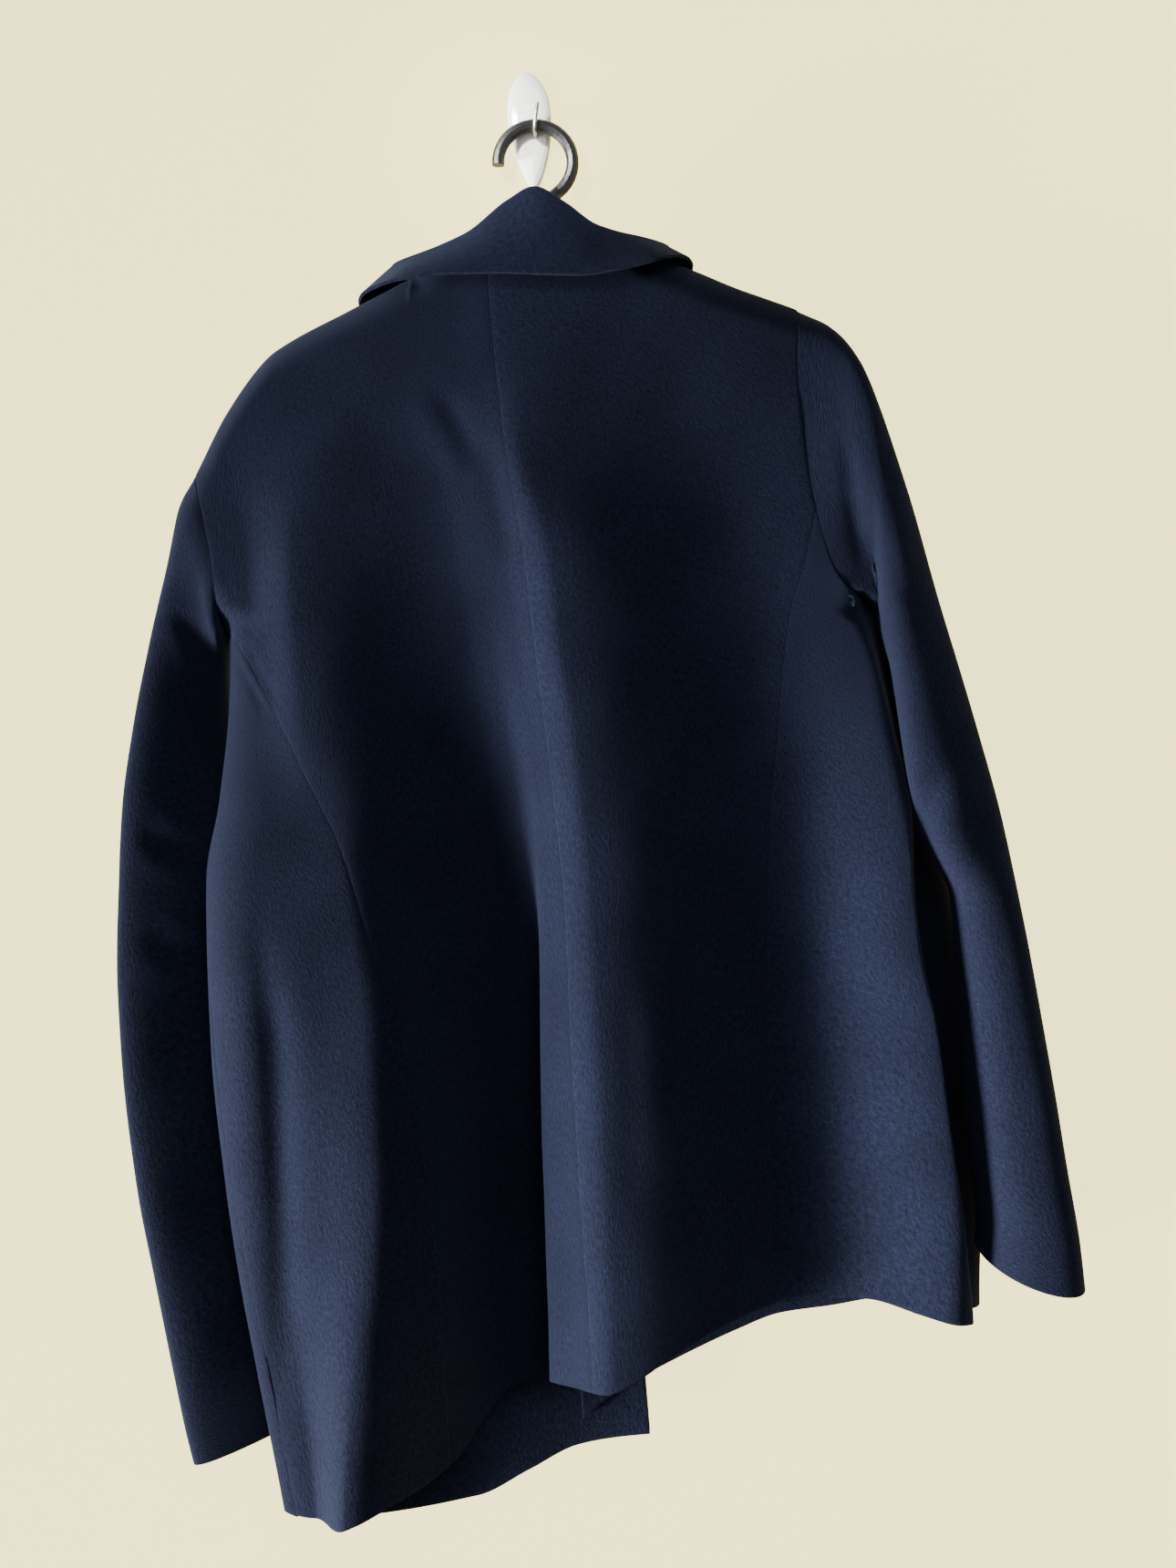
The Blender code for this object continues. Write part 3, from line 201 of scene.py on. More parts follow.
SIDE_BACK_SEAM_RIGHT = [(-268, 186.4), (-303, 178.7), (-332, 170), (-376, 164.2), (-421, 160.7),
                        (-457, 156.6), (-560, 154), (-700, 156), (-800, 159)]
# Sections of the back. A row is a height, then the place across and the depth of the left flank, the bulge,
# the trough, the underside, edge and crest of the fold that leans over it, the right hollow, the side fold
# and the valley behind that.
BACK_COLUMNS = ("z", "flank_x", "flank_y", "bulge_x", "bulge_y", "trough_x", "trough_y", "under_x", "under_y",
                "edge_x", "edge_y", "crest_x", "crest_y", "hollow_x", "hollow_y", "side_x", "side_y",
                "valley_x", "valley_y")
BACK_SECTIONS = [
    (-90, -170, 50, -110, 54, -60, 58, -44, 59, -28, 60, 5, 61, 110, 55, 150, 52, 172, 48),
    (-150, -180, 62, -118, 68, -62, 70, -46, 70, -30, 71, -4, 72, 105, 64, 155, 60, 180, 58),
    (-220, -196, 76, -130, 78, -62, 75, -46, 76, -30, 79, -4, 86, 116, 70, 162, 68, 186, 67),
    (-296, -180, 80, -148, 91.5, -48, 77, -34, 79, -16, 84, 15, 103, 146, 75, 197, 77, 216, 74),
    (-360, -176, 85.5, -144, 99, -38, 74, -23, 77, -7, 85, 23, 108, 158, 76, 219, 82, 229, 66),
    (-412, -170, 91.6, -138, 101.5, -30, 72, -14, 75, 2, 87, 32, 112, 166, 77, 232, 89, 240, 64),
    (-460, -170, 101, -122, 103, -22, 69, -6, 73, 8, 89, 37, 114, 171, 77, 243, 95, 251, 60),
    (-500, -170, 109, -114, 107, -17, 67, -2, 71, 10, 90, 41, 115, 174, 77, 242, 101, 253, 55),
    (-548, -169, 113, -108, 111, -13, 65, 2, 68, 12, 91, 44, 117, 177, 77, 247, 104, 256, 50),
    (-600, -166, 110, -101, 114, -12, 61, 3, 64, 13, 91, 47, 119, 182, 77, 257, 106, 266, 48),
    (-668, -162, 104, -96, 118, -11, 55, 4, 58, 16, 91, 51, 120, 188, 77, 266, 108, 275, 46),
    (-713, -158, 100, -95, 119, -11, 53, 6, 56, 18, 91, 53, 121, 192, 77, 273, 108, 282, 48),
    (-753, -154, 97, -97, 120, -10, 51, 7, 54, 20, 91, 55, 121, 196, 78, 278, 107, 287, 55),
    (-792, -149, 93, -101, 120, -8, 50, 8, 53, 22, 90, 56, 121, 199, 78, 283, 104, 291, 68),
    (-870, -138, 91, -109, 119, -10, 49, 8, 52, 24, 89, 58, 120, 201, 79, 279, 104, 291, 70),
    (-950, -130, 90, -113, 118, -12, 49, 8, 52, 24, 89, 60, 119, 202, 80, 279, 104, 291, 70)]
# How far the fold leans over its trough, by height, and how wide its foot and its brow are.
TUCK_ROWS = [(-470, 0), (-560, 7), (-700, 11), (-880, 13)]
TUCK_FOOT_WIDTH = 7.0
TUCK_BROW_WIDTH = 8.0
TUCK_BROW_SHARE = 0.55
HEM_BACK = [(-153, -910), (-136, -911.5), (-122, -910.5), (-105, -905), (-86, -898), (-68, -893),
            (-46, -882), (-27, -858), (-12, -842), (8, -833), (24, -825), (48, -823.5), (72, -813),
            (90, -802), (128, -784.5), (160, -776.5), (218, -774.5), (250, -781), (270, -785.5),
            (297, -789)]
# By height: how deep the left and the right outline lie, where back turns to front, and the turn's radius.
MIDDLE_ROWS = [(-90, 34, 34), (-250, 38, 38), (-330, 43, 43), (-430, 66, 33), (-520, 79, 28), (-700, 80, 28),
               (-780, 80, 33), (-950, 80, 36)]
RIM_ROUND_ROWS = [(-130, 26), (-200, 20), (-260, 19), (-340, 26), (-420, 34), (-700, 36), (-950, 36)]


def curve_through(xs, ys, x):
    """Smooth curve through knots that never overshoots them. xs and ys may have a row for each x."""
    x = np.asarray(x, dtype=float)
    flat = x.reshape(-1)
    xs = np.broadcast_to(np.asarray(xs, dtype=float), (flat.size, np.shape(xs)[-1]))
    ys = np.broadcast_to(np.asarray(ys, dtype=float), (flat.size, np.shape(ys)[-1]))
    step = np.diff(xs, axis=1)
    rise = np.diff(ys, axis=1) / step
    slope = np.zeros_like(ys)
    before = rise[:, :-1]
    after = rise[:, 1:]
    same = before * after > 0.0
    total = np.where(same, before + after, 1.0)
    slope[:, 1:-1] = np.where(same, 2.0 * before * after / total, 0.0)
    slope[:, 0] = rise[:, 0]
    slope[:, -1] = rise[:, -1]
    k = (flat[:, None] >= xs[:, 1:-1]).sum(axis=1)[:, None]

    def pick(values):
        return np.take_along_axis(values, k, axis=1)[:, 0]

    width = pick(step)
    t = np.clip((flat - pick(xs)) / width, 0.0, 1.0)
    low = pick(ys)
    high = np.take_along_axis(ys, k + 1, axis=1)[:, 0]
    slope_low = pick(slope)
    slope_high = np.take_along_axis(slope, k + 1, axis=1)[:, 0]
    value = (low * (1 + 2 * t) * (1 - t) ** 2 + high * t * t * (3 - 2 * t)
             + width * (slope_low * t * (1 - t) ** 2 - slope_high * t * t * (1 - t)))
    return value.reshape(x.shape)


def by_height(rows, column, z):
    """A column of a table whose first column is the height, read at z."""
    table = np.array(rows, dtype=float)
    order = np.argsort(table[:, 0])
    return curve_through(table[order, 0], table[order, column], z)


def by_place(points, x):
    """Height of an outline of x and z points, read at x."""
    table = np.array(points, dtype=float)
    order = np.argsort(table[:, 0])
    return curve_through(table[order, 0], table[order, 1], x)


def outline_x(points, z):
    """Place across of an outline of x and z points, read at height z and held beyond its ends."""
    table = np.array(points, dtype=float)
    order = np.argsort(table[:, 1])
    table = table[order]
    return curve_through(table[:, 1], table[:, 0], np.clip(z, table[0, 1], table[-1, 1]))


def smooth_step(t):
    t = np.clip(t, 0.0, 1.0)
    return t * t * (3.0 - 2.0 * t)


def distance_to(curve, first, last, along_place, off_place):
    """Distance to an outline that is read along one axis, square to its own slope."""
    held = np.clip(along_place, first, last)
    slope = (curve(held + OUTLINE_STEP) - curve(held - OUTLINE_STEP)) / (2.0 * OUTLINE_STEP)
    return np.hypot((off_place - curve(held)) / np.sqrt(1.0 + slope ** 2), along_place - held)


def edge_distance(x, z):
    """Distance, seen from the back, to the outline where the back turns into the front."""
    best = np.full(np.shape(x), 1.0e9)
    for shoulder in (SHOULDER_LEFT, SHOULDER_RIGHT):
        first, last = sorted((shoulder[0][0], shoulder[-1][0]))
        best = np.minimum(best, distance_to(lambda t: by_place(shoulder, t), first, last, x, z))
    for rim in (RIM_LEFT, RIM_RIGHT):
        best = np.minimum(best, distance_to(lambda t: outline_x(rim, t), rim[-1][1], rim[0][1], z, x))
    return best


def rounding(x, z):
    """From 0 on the outline to 1 where the cloth has turned fully to the back or the front."""
    radius = by_height(RIM_ROUND_ROWS, 1, z)
    t = np.clip(edge_distance(x, z) / radius, 0.0, 1.0)
    return np.sqrt(np.clip(1.0 - (1.0 - t) ** 2, 0.0, 1.0))


def middle_y(x, z):
    """Depth of the outline itself, halfway between back and front, at place x and height z."""
    left = outline_x(RIM_LEFT, z)
    right = outline_x(RIM_RIGHT, z)
    share = smooth_step((x - left) / (right - left))
    return by_height(MIDDLE_ROWS, 1, z) * (1.0 - share) + by_height(MIDDLE_ROWS, 2, z) * share


def back_surface(x, z):
    """Outer face of the back at place x and height z. The centre fold leans over to the left."""
    column = {name: by_height(BACK_SECTIONS, i, z) for i, name in enumerate(BACK_COLUMNS)}
    left = np.minimum(outline_x(RIM_LEFT, z), column["flank_x"] - RIM_CLEARANCE)
    right = np.maximum(outline_x(RIM_RIGHT, z), column["valley_x"] + RIM_CLEARANCE)
    names = ("flank", "bulge", "trough", "under", "edge", "crest", "hollow", "side", "valley")
    xs = [left] + [column[n + "_x"] for n in names] + [right]
    ys = [column["flank_y"]] + [column[n + "_y"] for n in names] + [column["valley_y"]]
    xs = np.stack([v.reshape(-1) for v in xs], axis=1)
    ys = np.stack([v.reshape(-1) for v in ys], axis=1)
    depth = curve_through(xs, ys, x.reshape(-1)).reshape(x.shape)
    middle = middle_y(x, z)
    depth = middle + (depth - middle) * rounding(x, z)
    tuck = by_height(TUCK_ROWS, 1, np.clip(z, TUCK_ROWS[-1][0], TUCK_ROWS[0][0]))
    foot = np.exp(-((x - column["under_x"]) / TUCK_FOOT_WIDTH) ** 2)
    brow = np.exp(-((x - column["edge_x"]) / TUCK_BROW_WIDTH) ** 2)
    shift = tuck * (foot - TUCK_BROW_SHARE * brow)
    return np.stack([x + shift, -depth, z], axis=-1)


def drop_down(v, length):
    """Rows crowd at the top, where the cloth turns over the shoulder, then share the rest evenly."""
    quarter = np.clip(v / SHOULDER_SHARE, 0.0, 1.0) * pi / 2
    rest = np.clip((v - SHOULDER_SHARE) / (1.0 - SHOULDER_SHARE), 0.0, 1.0)
    over = np.minimum(ROUND_SHOULDER, 0.5 * length)
    return over * (1.0 - np.cos(quarter)) + (length - over) * rest


def panel_rows(u, v, top, hem, across):
    """Heights and places of a panel's grid. top and hem are outlines, across gives places at a height."""
    top_x, top_z = top(u)
    hem_z = np.full_like(u, HEM_GUESS)
    for _ in range(SEARCH_STEPS):
        hem_z = by_place(hem, across(u, hem_z))
    z = top_z - drop_down(v, top_z - hem_z)
    x = across(u, z) + (top_x - across(u, top_z)) * (1.0 - smooth_step(v / TOP_FADE))
    return x, z


def top_height(x, neck, shoulder):
    """Height of the shoulder seam beyond the neck's end, and of the neckline before it."""
    beyond = x > shoulder[0][0] if shoulder is SHOULDER_RIGHT else x < shoulder[0][0]
    return np.where(beyond, by_place(shoulder, x), by_place(neck, x))


def outer_edge(z, armhole, seam, corner):
    """Place of a middle panel's outer edge: the armhole above the corner, the side-back seam below it."""
    below = by_height(seam, 1, np.clip(z, seam[-1][0], corner[1]))
    return np.where(z > corner[1], outline_x(armhole, z), below)


def outer_left(z):
    return outer_edge(z, ARMHOLE_LEFT, SIDE_BACK_SEAM_LEFT, CORNER_LEFT)


def outer_right(z):
    return outer_edge(z, ARMHOLE_RIGHT, SIDE_BACK_SEAM_RIGHT, CORNER_RIGHT)


def back_panel(u, v, outer, shoulder):
    """From the centre-back seam, u = 0, to the armhole and the side-back seam, u = 1."""
    def across(u, z):
        inner = by_height(CENTRE_BACK_SEAM, 1, z)
        return inner + (outer(z) - inner) * u

    def top(u):
        start = CENTRE_BACK_SEAM[0][1]
        x = start + (shoulder[-1][0] - start) * u
        for _ in range(SEARCH_STEPS):
            x = across(u, top_height(x, NECK_BACK, shoulder))
        return x, top_height(x, NECK_BACK, shoulder)

    x, z = panel_rows(u, v, top, HEM_BACK, across)
    return back_surface(x, z)


# Creases, one row each: the points it runs through, x and z, how deep it is, how wide, and the share of
# its depth that stands up again as a ridge at its left and at its right.
BACK_CREASES = [
    ([(-60, -186), (-52, -200), (-38, -224), (-26, -250)], 1.3, 7.5, 0.9, 0.2),
    ([(-30, -215), (-22, -240), (-14, -275), (-4, -310)], 0.9, 8.0, 0.5, 0.4),
    ([(-188, -352), (-178, -370), (-168, -386), (-158, -404)], -0.7, 2.6, 0.8, 0.8),
    ([(-172, -510), (-162, -560), (-155, -620), (-154, -700), (-154, -770), (-155, -860)],
     3.4, 9.5, 0.4, 0.3),
    ([(204, -300), (216, -314), (228, -330)], 1.6, 5.0, 0.6, 0.6),
    ([(120, -690), (126, -740), (122, -790)], 0.9, 9.0, 0.4, 0.4),
    ([(60, -560), (66, -640), (64, -720)], 0.7, 10.0, 0.3, 0.3),
]
# In widths of a crease: how far it reaches, and where its ridges stand and how wide they are. Then the share
# of its length over which it fades out at each end.
CREASE_REACH = 5.0
RIDGE_PLACE = 2.1
RIDGE_WIDTH = 1.2
CREASE_END = 0.3


def line_through(points, count=28):
    """A smooth line through a crease's points."""
    table = np.array(points, dtype=float)
    runs = np.hypot(np.diff(table[:, 0]), np.diff(table[:, 1]))
    share = np.concatenate([[0.0], np.cumsum(runs)])
    share /= share[-1]
    t = np.linspace(0.0, 1.0, count)
    return np.stack([curve_through(share, table[:, 0], t), curve_through(share, table[:, 1], t)], axis=1)


def crease_depth(rows, x, z):
    """How far the creases in rows press the cloth in at x and z. Ridges count as less than nothing."""
    total = np.zeros(np.shape(x))
    for points, depth, width, left, right in rows:
        line = line_through(points)
        reach = CREASE_REACH * width
        near = ((x > line[:, 0].min() - reach) & (x < line[:, 0].max() + reach)
                & (z > line[:, 1].min() - reach) & (z < line[:, 1].max() + reach))
        if not near.any():
            continue
        px = x[near][:, None]
        pz = z[near][:, None]
        run_x = np.diff(line[:, 0])
        run_z = np.diff(line[:, 1])
        length = np.hypot(run_x, run_z)
        t = ((px - line[:-1, 0]) * run_x + (pz - line[:-1, 1]) * run_z) / length ** 2
        held = np.clip(t, 0.0, 1.0)
        off = np.hypot(px - line[:-1, 0] - held * run_x, pz - line[:-1, 1] - held * run_z)
        best = off.argmin(axis=1)
        pick = np.arange(best.size)
        apart = off[pick, best]
        turned = (px[:, 0] - line[best, 0]) * run_z[best] - (pz[:, 0] - line[best, 1]) * run_x[best]
        side = np.sign(turned)
        place = (best + held[pick, best]) / (len(line) - 1)
        ends = smooth_step(place / CREASE_END) * smooth_step((1.0 - place) / CREASE_END)
        ridge = np.where(side > 0.0, left, right)
        valley = np.exp(-(apart / width) ** 2)
        crown = np.exp(-((apart - RIDGE_PLACE * width) / (RIDGE_WIDTH * width)) ** 2)
        total[near] += depth * ends * (valley - ridge * crown)
    return total


def unevenness(x, z):
    """The slow waviness of cloth that has hung and been worn: three sets of waves that run different ways."""
    dents = 0.55 * np.sin(x / 17.0 + 0.013 * z) * np.sin(z / 29.0 + 0.6)
    upright = 0.35 * np.sin(x / 9.5 - z / 23.0 + 1.3)
    level = 0.25 * np.sin(x / 31.0 + z / 13.0 + 2.1)
    return dents + upright + level


def back_relief(x, z, facing):
    """Creases and waviness of the back. They count only where the cloth faces the room."""
    pressed = crease_depth(BACK_CREASES, x, z) + WAVINESS * unevenness(x, z)
    return pressed * smooth_step(facing / RELIEF_TURN)


def lap_seams(points, seams):
    """Each seam's edge goes half the overlap past its seam line, so that no light shows through.

    seams names the sides that are seams: u0 and u1 at the two ends of a row, v0 at the top.
    """
    def push(edge, inner):
        way = edge - inner
        way /= np.maximum(np.linalg.norm(way, axis=-1, keepdims=True), 1.0e-9)
        return edge + way * 0.5 * SEAM_OVERLAP

    moved = points.copy()
    if "v0" in seams:
        moved[0] = push(points[0], points[1])
    if "u0" in seams:
        moved[:, 0] = push(moved[:, 0], moved[:, 1])
    if "u1" in seams:
        moved[:, -1] = push(moved[:, -1], moved[:, -2])
    return moved


def sink_at_seams(points, seams, depth, roll):
    """How far the cloth rolls in next to its seams."""
    distance = np.full(points.shape[:2], 1.0e6)
    runs_v = np.linalg.norm(np.diff(points, axis=0), axis=-1)
    runs_u = np.linalg.norm(np.diff(points, axis=1), axis=-1)
    down = np.concatenate([np.zeros((1, points.shape[1])), np.cumsum(runs_v, axis=0)])
    over = np.concatenate([np.zeros((points.shape[0], 1)), np.cumsum(runs_u, axis=1)], axis=1)
    if "u0" in seams:
        distance = np.minimum(distance, over)
    if "u1" in seams:
        distance = np.minimum(distance, over[:, -1:] - over)
    if "v0" in seams:
        distance = np.minimum(distance, down)
    return depth * np.exp(-(distance / roll) ** SEAM_ROLL_POWER)


def surface_normals(points, closed):
    """Directions square to a grid of points. closed says that its first and last columns meet."""
    du = np.gradient(points, axis=1)
    if closed:
        du[:, 0] = points[:, 1] - points[:, -2]
        du[:, -1] = du[:, 0]
    dv = np.gradient(points, axis=0)
    normals = np.cross(du, dv)
    return normals / np.maximum(np.linalg.norm(normals, axis=-1, keepdims=True), 1.0e-9)


def heathered_wool():
    """Felted navy wool: mixed dark and lighter fibres, a short nap and a soft sheen."""
    material, tree, shader = new_material("navy_wool", roughness=0.95, specular=0.065)
    shader.inputs["Sheen Weight"].default_value = 0.115
    shader.inputs["Sheen Roughness"].default_value = 0.42
    shader.inputs["Sheen Tint"].default_value = SHEEN_BLUE
    cloth = tree.nodes.new("ShaderNodeUVMap")
    place = tree.nodes.new("ShaderNodeTexCoord")
    along_grain = node(tree, "ShaderNodeMapping", scale=(1.0, 0.42, 1.0))
    fibres = node(tree, "ShaderNodeTexNoise", scale=1900.0, detail=3.0, roughness=0.62)
    clumps = node(tree, "ShaderNodeTexNoise", scale=330.0, detail=4.0, roughness=0.6)
    patches = node(tree, "ShaderNodeTexNoise", scale=22.0, detail=3.0)
    tree.links.new(cloth.outputs["UV"], along_grain.inputs["Vector"])
    tree.links.new(along_grain.outputs["Vector"], fibres.inputs["Vector"])
    tree.links.new(cloth.outputs["UV"], clumps.inputs["Vector"])
    tree.links.new(place.outputs["Object"], patches.inputs["Vector"])
    heather = tree.nodes.new("ShaderNodeValToRGB")
    heather.color_ramp.elements[0].position = 0.30
    heather.color_ramp.elements[0].color = FIBRE_DARK
    heather.color_ramp.elements[1].position = 0.74
    heather.color_ramp.elements[1].color = FIBRE_LIGHT
    tree.links.new(fibres.outputs["Fac"], heather.inputs["Fac"])
    worn = node(tree, "ShaderNodeMapRange", from_min=0.25, from_max=0.75, to_min=0.45, to_max=1.62)
    tree.links.new(clumps.outputs["Fac"], worn.inputs["Value"])
    faded = node(tree, "ShaderNodeMapRange", from_min=0.3, from_max=0.7, to_min=0.90, to_max=1.12)
    tree.links.new(patches.outputs["Fac"], faded.inputs["Value"])
    both = tree.nodes.new("ShaderNodeMath")
    both.operation = "MULTIPLY"
    tree.links.new(worn.outputs["Result"], both.inputs[0])
    tree.links.new(faded.outputs["Result"], both.inputs[1])
    shade = tree.nodes.new("ShaderNodeVectorMath")
    shade.operation = "SCALE"
    tree.links.new(heather.outputs["Color"], shade.inputs[0])
    tree.links.new(both.outputs["Value"], shade.inputs["Scale"])
    tree.links.new(shade.outputs["Vector"], shader.inputs["Base Color"])
    nap = node(tree, "ShaderNodeBump", strength=0.55, distance=0.0007)
    felt = node(tree, "ShaderNodeBump", strength=0.75, distance=0.0012)
    tree.links.new(fibres.outputs["Fac"], nap.inputs["Height"])
    tree.links.new(clumps.outputs["Fac"], felt.inputs["Height"])
    tree.links.new(felt.outputs["Normal"], nap.inputs["Normal"])
    tree.links.new(nap.outputs["Normal"], shader.inputs["Normal"])
    return material


WOOL = heathered_wool()


def cloth_piece(node_name, place, size, relief, seams, outward, closed=False, crowd=None,
                seam_depth=SEAM_SINK, seam_roll=SEAM_ROLL, swell=0.0):
    """A panel of wool on its own surface: a fine grid, pressed in at the seams and creases, then a wall.

    place gives its points for shares u across and v down, and size is its width and length. relief is how far
    its creases press in, where facing is 1 towards the room and -1 towards the wall. outward is 1 where the
    grid's normals point out of the garment, or -1. crowd shares out its columns where it folds tightly, and
    swell is how far its ease lifts it off the form, away from its first seam.
    """
    name = "wool_" + node_name
    columns = round(size[0] / GRID_STEP)
    rows = round(size[1] / GRID_STEP)
    us = np.linspace(0.0, 1.0, columns + 1)
    if crowd is not None:
        us = crowd(us)
    vs = np.linspace(0.0, 1.0, rows + 1)
    if not closed:
        vs = ROW_CROWDING * vs ** 2 + (1.0 - ROW_CROWDING) * vs
    u, v = np.meshgrid(us, vs)
    points = lap_seams(place(u, v), seams)
    normals = surface_normals(points, closed) * outward
    facing = np.clip(-normals[..., 1], -1.0, 1.0)
    sunk = sink_at_seams(points, seams, seam_depth, seam_roll)
    sunk = sunk + relief(points[..., 0], points[..., 2], facing)
    sunk = sunk - swell * smooth_step(v / SWELL_RUN)
    points = points - normals * sunk[..., None]
    if closed:
        points[:, -1] = points[:, 0]
    mesh = bpy.data.meshes.new(name)
    bm = bmesh.new()
    uv = bm.loops.layers.uv.new("cloth")
    bmesh.ops.create_grid(bm, x_segments=columns, y_segments=rows, size=0.5)
    for face in bm.faces:
        for loop in face.loops:
            share_u = loop.vert.co.x + 0.5
            share_v = loop.vert.co.y + 0.5
            loop[uv].uv = (share_u * size[0] * MM, -share_v * size[1] * MM)
    for vert in bm.verts:
        i = round((vert.co.y + 0.5) * rows)
        j = round((vert.co.x + 0.5) * columns)
        vert.co = points[i, j] * MM
    if closed:
        bmesh.ops.remove_doubles(bm, verts=bm.verts[:], dist=MERGE_DISTANCE)
    if outward < 0:
        bmesh.ops.reverse_faces(bm, faces=bm.faces[:])
    bm.to_mesh(mesh)
    bm.free()
    mesh.materials.append(WOOL)
    mesh.shade_smooth()
    piece = bpy.data.objects.new(name, mesh)
    bpy.context.scene.collection.objects.link(piece)
    wall = piece.modifiers.new("cloth thickness", "SOLIDIFY")
    wall.thickness = CLOTH * MM
    wall.offset = -1.0
    wall.use_rim = True
    edge = piece.modifiers.new("rounded edge", "BEVEL")
    edge.limit_method = "ANGLE"
    edge.angle_limit = radians(CLOTH_EDGE_ANGLE)
    edge.width = CLOTH_EDGE_ROUND * MM
    edge.segments = 2
    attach(piece, "root")
    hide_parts(node_name)


CROWDED_COLUMNS = 0.45
CROWDED_WIDTH = 0.33


def crowd_at_fold(us):
    """Columns of the left panel crowd at the centre fold."""
    return np.interp(us, (0.0, CROWDED_COLUMNS, 1.0), (0.0, CROWDED_WIDTH, 1.0))


cloth_piece("back_left", lambda u, v: back_panel(u, v, outer_left, SHOULDER_LEFT), size=(330.0, 800.0),
            relief=back_relief, seams=("u0", "u1", "v0"), outward=1,
            crowd=crowd_at_fold)
cloth_piece("back_right", lambda u, v: back_panel(u, v, outer_right, SHOULDER_RIGHT), size=(240.0, 740.0),
            relief=back_relief, seams=("u0", "u1", "v0"), outward=-1)

# Side panels. They run from the curved back seams round to the side seams, of the same wool.
# Where the body turns to the front they follow the turn, and the right one makes the fold by the sleeve.
SIDE_SEAM_WRAP = 26.0
SIDE_SEAM_RUN = 420.0
SIDE_FOLD_SHARES = (0.0, 0.54, 0.72, 1.0)
SIDE_BROW_INSET = 3.0
SIDE_FOOT_OUTSET = 1.0
# Depths of the fronts: a row lists the height, then the depth at each of these shares across.
FRONT_SHARES = (0.10, 0.30, 0.55, 0.78, 0.93)
FRONT_SECTIONS = [
    (-90, 20, 20, 20, 20, 20),
    (-200, 19, 17, 17, 17, 18),
    (-350, 30, 18, 14, 14, 18),
    (-430, 52, 27, 14, 14, 17),
    (-520, 66, 33, 15, 14, 17),
    (-700, 68, 34, 16, 14, 17),
    (-950, 68, 33, 17, 15, 18)]


def rim_offset(q, radius):
    """Place inside a rim for a length q along the cloth from it, round the bend and then straight."""
    bend = radius * pi / 2
    inside = radius * (1.0 - np.cos(np.clip(np.abs(q) / radius, 0.0, pi / 2)))
    return inside + np.maximum(np.abs(q) - bend, 0.0)


def rim_length(d, radius):
    """The length along the cloth that reaches a place d inside a rim."""
    bend = np.arccos(np.clip(1.0 - d / radius, 0.0, 1.0)) * radius
    return bend + np.maximum(d - radius, 0.0)


def along(points, u):
    """Point at share u of an outline's length."""
    table = np.array(points, dtype=float)
    runs = np.hypot(np.diff(table[:, 0]), np.diff(table[:, 1]))
    length = np.concatenate([[0.0], np.cumsum(runs)])
    length /= length[-1]
    return curve_through(length, table[:, 0], u), curve_through(length, table[:, 1], u)


def side_seam_left(z):
    """Length along the cloth from the left rim to the side seam, on the back."""
    return SIDE_SEAM_WRAP * smooth_step((ARMHOLE_LEFT[-1][1] - z) / SIDE_SEAM_RUN)


def side_seam_right(z):
    """The right side seam lies on the rim itself."""
    return np.zeros_like(z)


def place_at(rim, side, q, z):
    """Place across, for a length q along the cloth from a rim at height z."""
    radius = by_height(RIM_ROUND_ROWS, 1, z)
    return outline_x(rim, z) - side * rim_offset(q, radius)


def front_surface(x, z, lap):
    """Outer face of a front. lap moves it away from the wall where it lies under the other front."""
    left = outline_x(RIM_LEFT, z)
    right = outline_x(RIM_RIGHT, z)
    across = (x - left) / (right - left)
    ys = np.stack([by_height(FRONT_SECTIONS, i, z).reshape(-1) for i in range(1, len(FRONT_SHARES) + 1)],
                  axis=1)
    depth = curve_through(FRONT_SHARES, ys, across.reshape(-1)).reshape(x.shape) + lap
    middle = middle_y(x, z)
    depth = middle + (depth - middle) * rounding(x, z)
    return np.stack([x, -depth, z], axis=-1)


def side_back_panel(u, v, side):
    """From the side-back seam, u = 0, to the side seam, u = 1. side is -1 at the left and 1 at the right."""
    rim = RIM_LEFT if side < 0 else RIM_RIGHT
    armhole = ARMHOLE_LEFT if side < 0 else ARMHOLE_RIGHT
    outer = outer_left if side < 0 else outer_right
    seam = side_seam_left if side < 0 else side_seam_right
    corner = CORNER_LEFT if side < 0 else CORNER_RIGHT
    top_run = [corner] + [p for p in armhole if p[1] < corner[1] - 1.0]

    def length(u, z):
        radius = by_height(RIM_ROUND_ROWS, 1, z)
        rim_x = outline_x(rim, z)
        start = rim_length(np.abs(rim_x - outer(z)), radius)
        if side < 0:
            return start + (seam(z) - start) * u
        brow_x = by_height(BACK_SECTIONS, BACK_COLUMNS.index("side_x"), z) - SIDE_BROW_INSET
        foot_x = by_height(BACK_SECTIONS, BACK_COLUMNS.index("valley_x"), z) + SIDE_FOOT_OUTSET
        brow = rim_length(rim_x - brow_x, radius)
        foot = rim_length(rim_x - foot_x, radius)
        shares = np.broadcast_to(SIDE_FOLD_SHARES, (u.size, len(SIDE_FOLD_SHARES)))
        lengths = np.stack([start.ravel(), brow.ravel(), foot.ravel(), seam(z).ravel()], axis=1)
        return curve_through(shares, lengths, u.ravel()).reshape(u.shape)

    def across(u, z):
        return place_at(rim, side, length(u, z), z)

    def top(u):
        return along(top_run, u)

    x, z = panel_rows(u, v, top, HEM_BACK, across)
    back = back_surface(x, z)
    front = front_surface(x, z, 0.0)
    return np.where((length(u, z) < 0.0)[..., None], front, back)


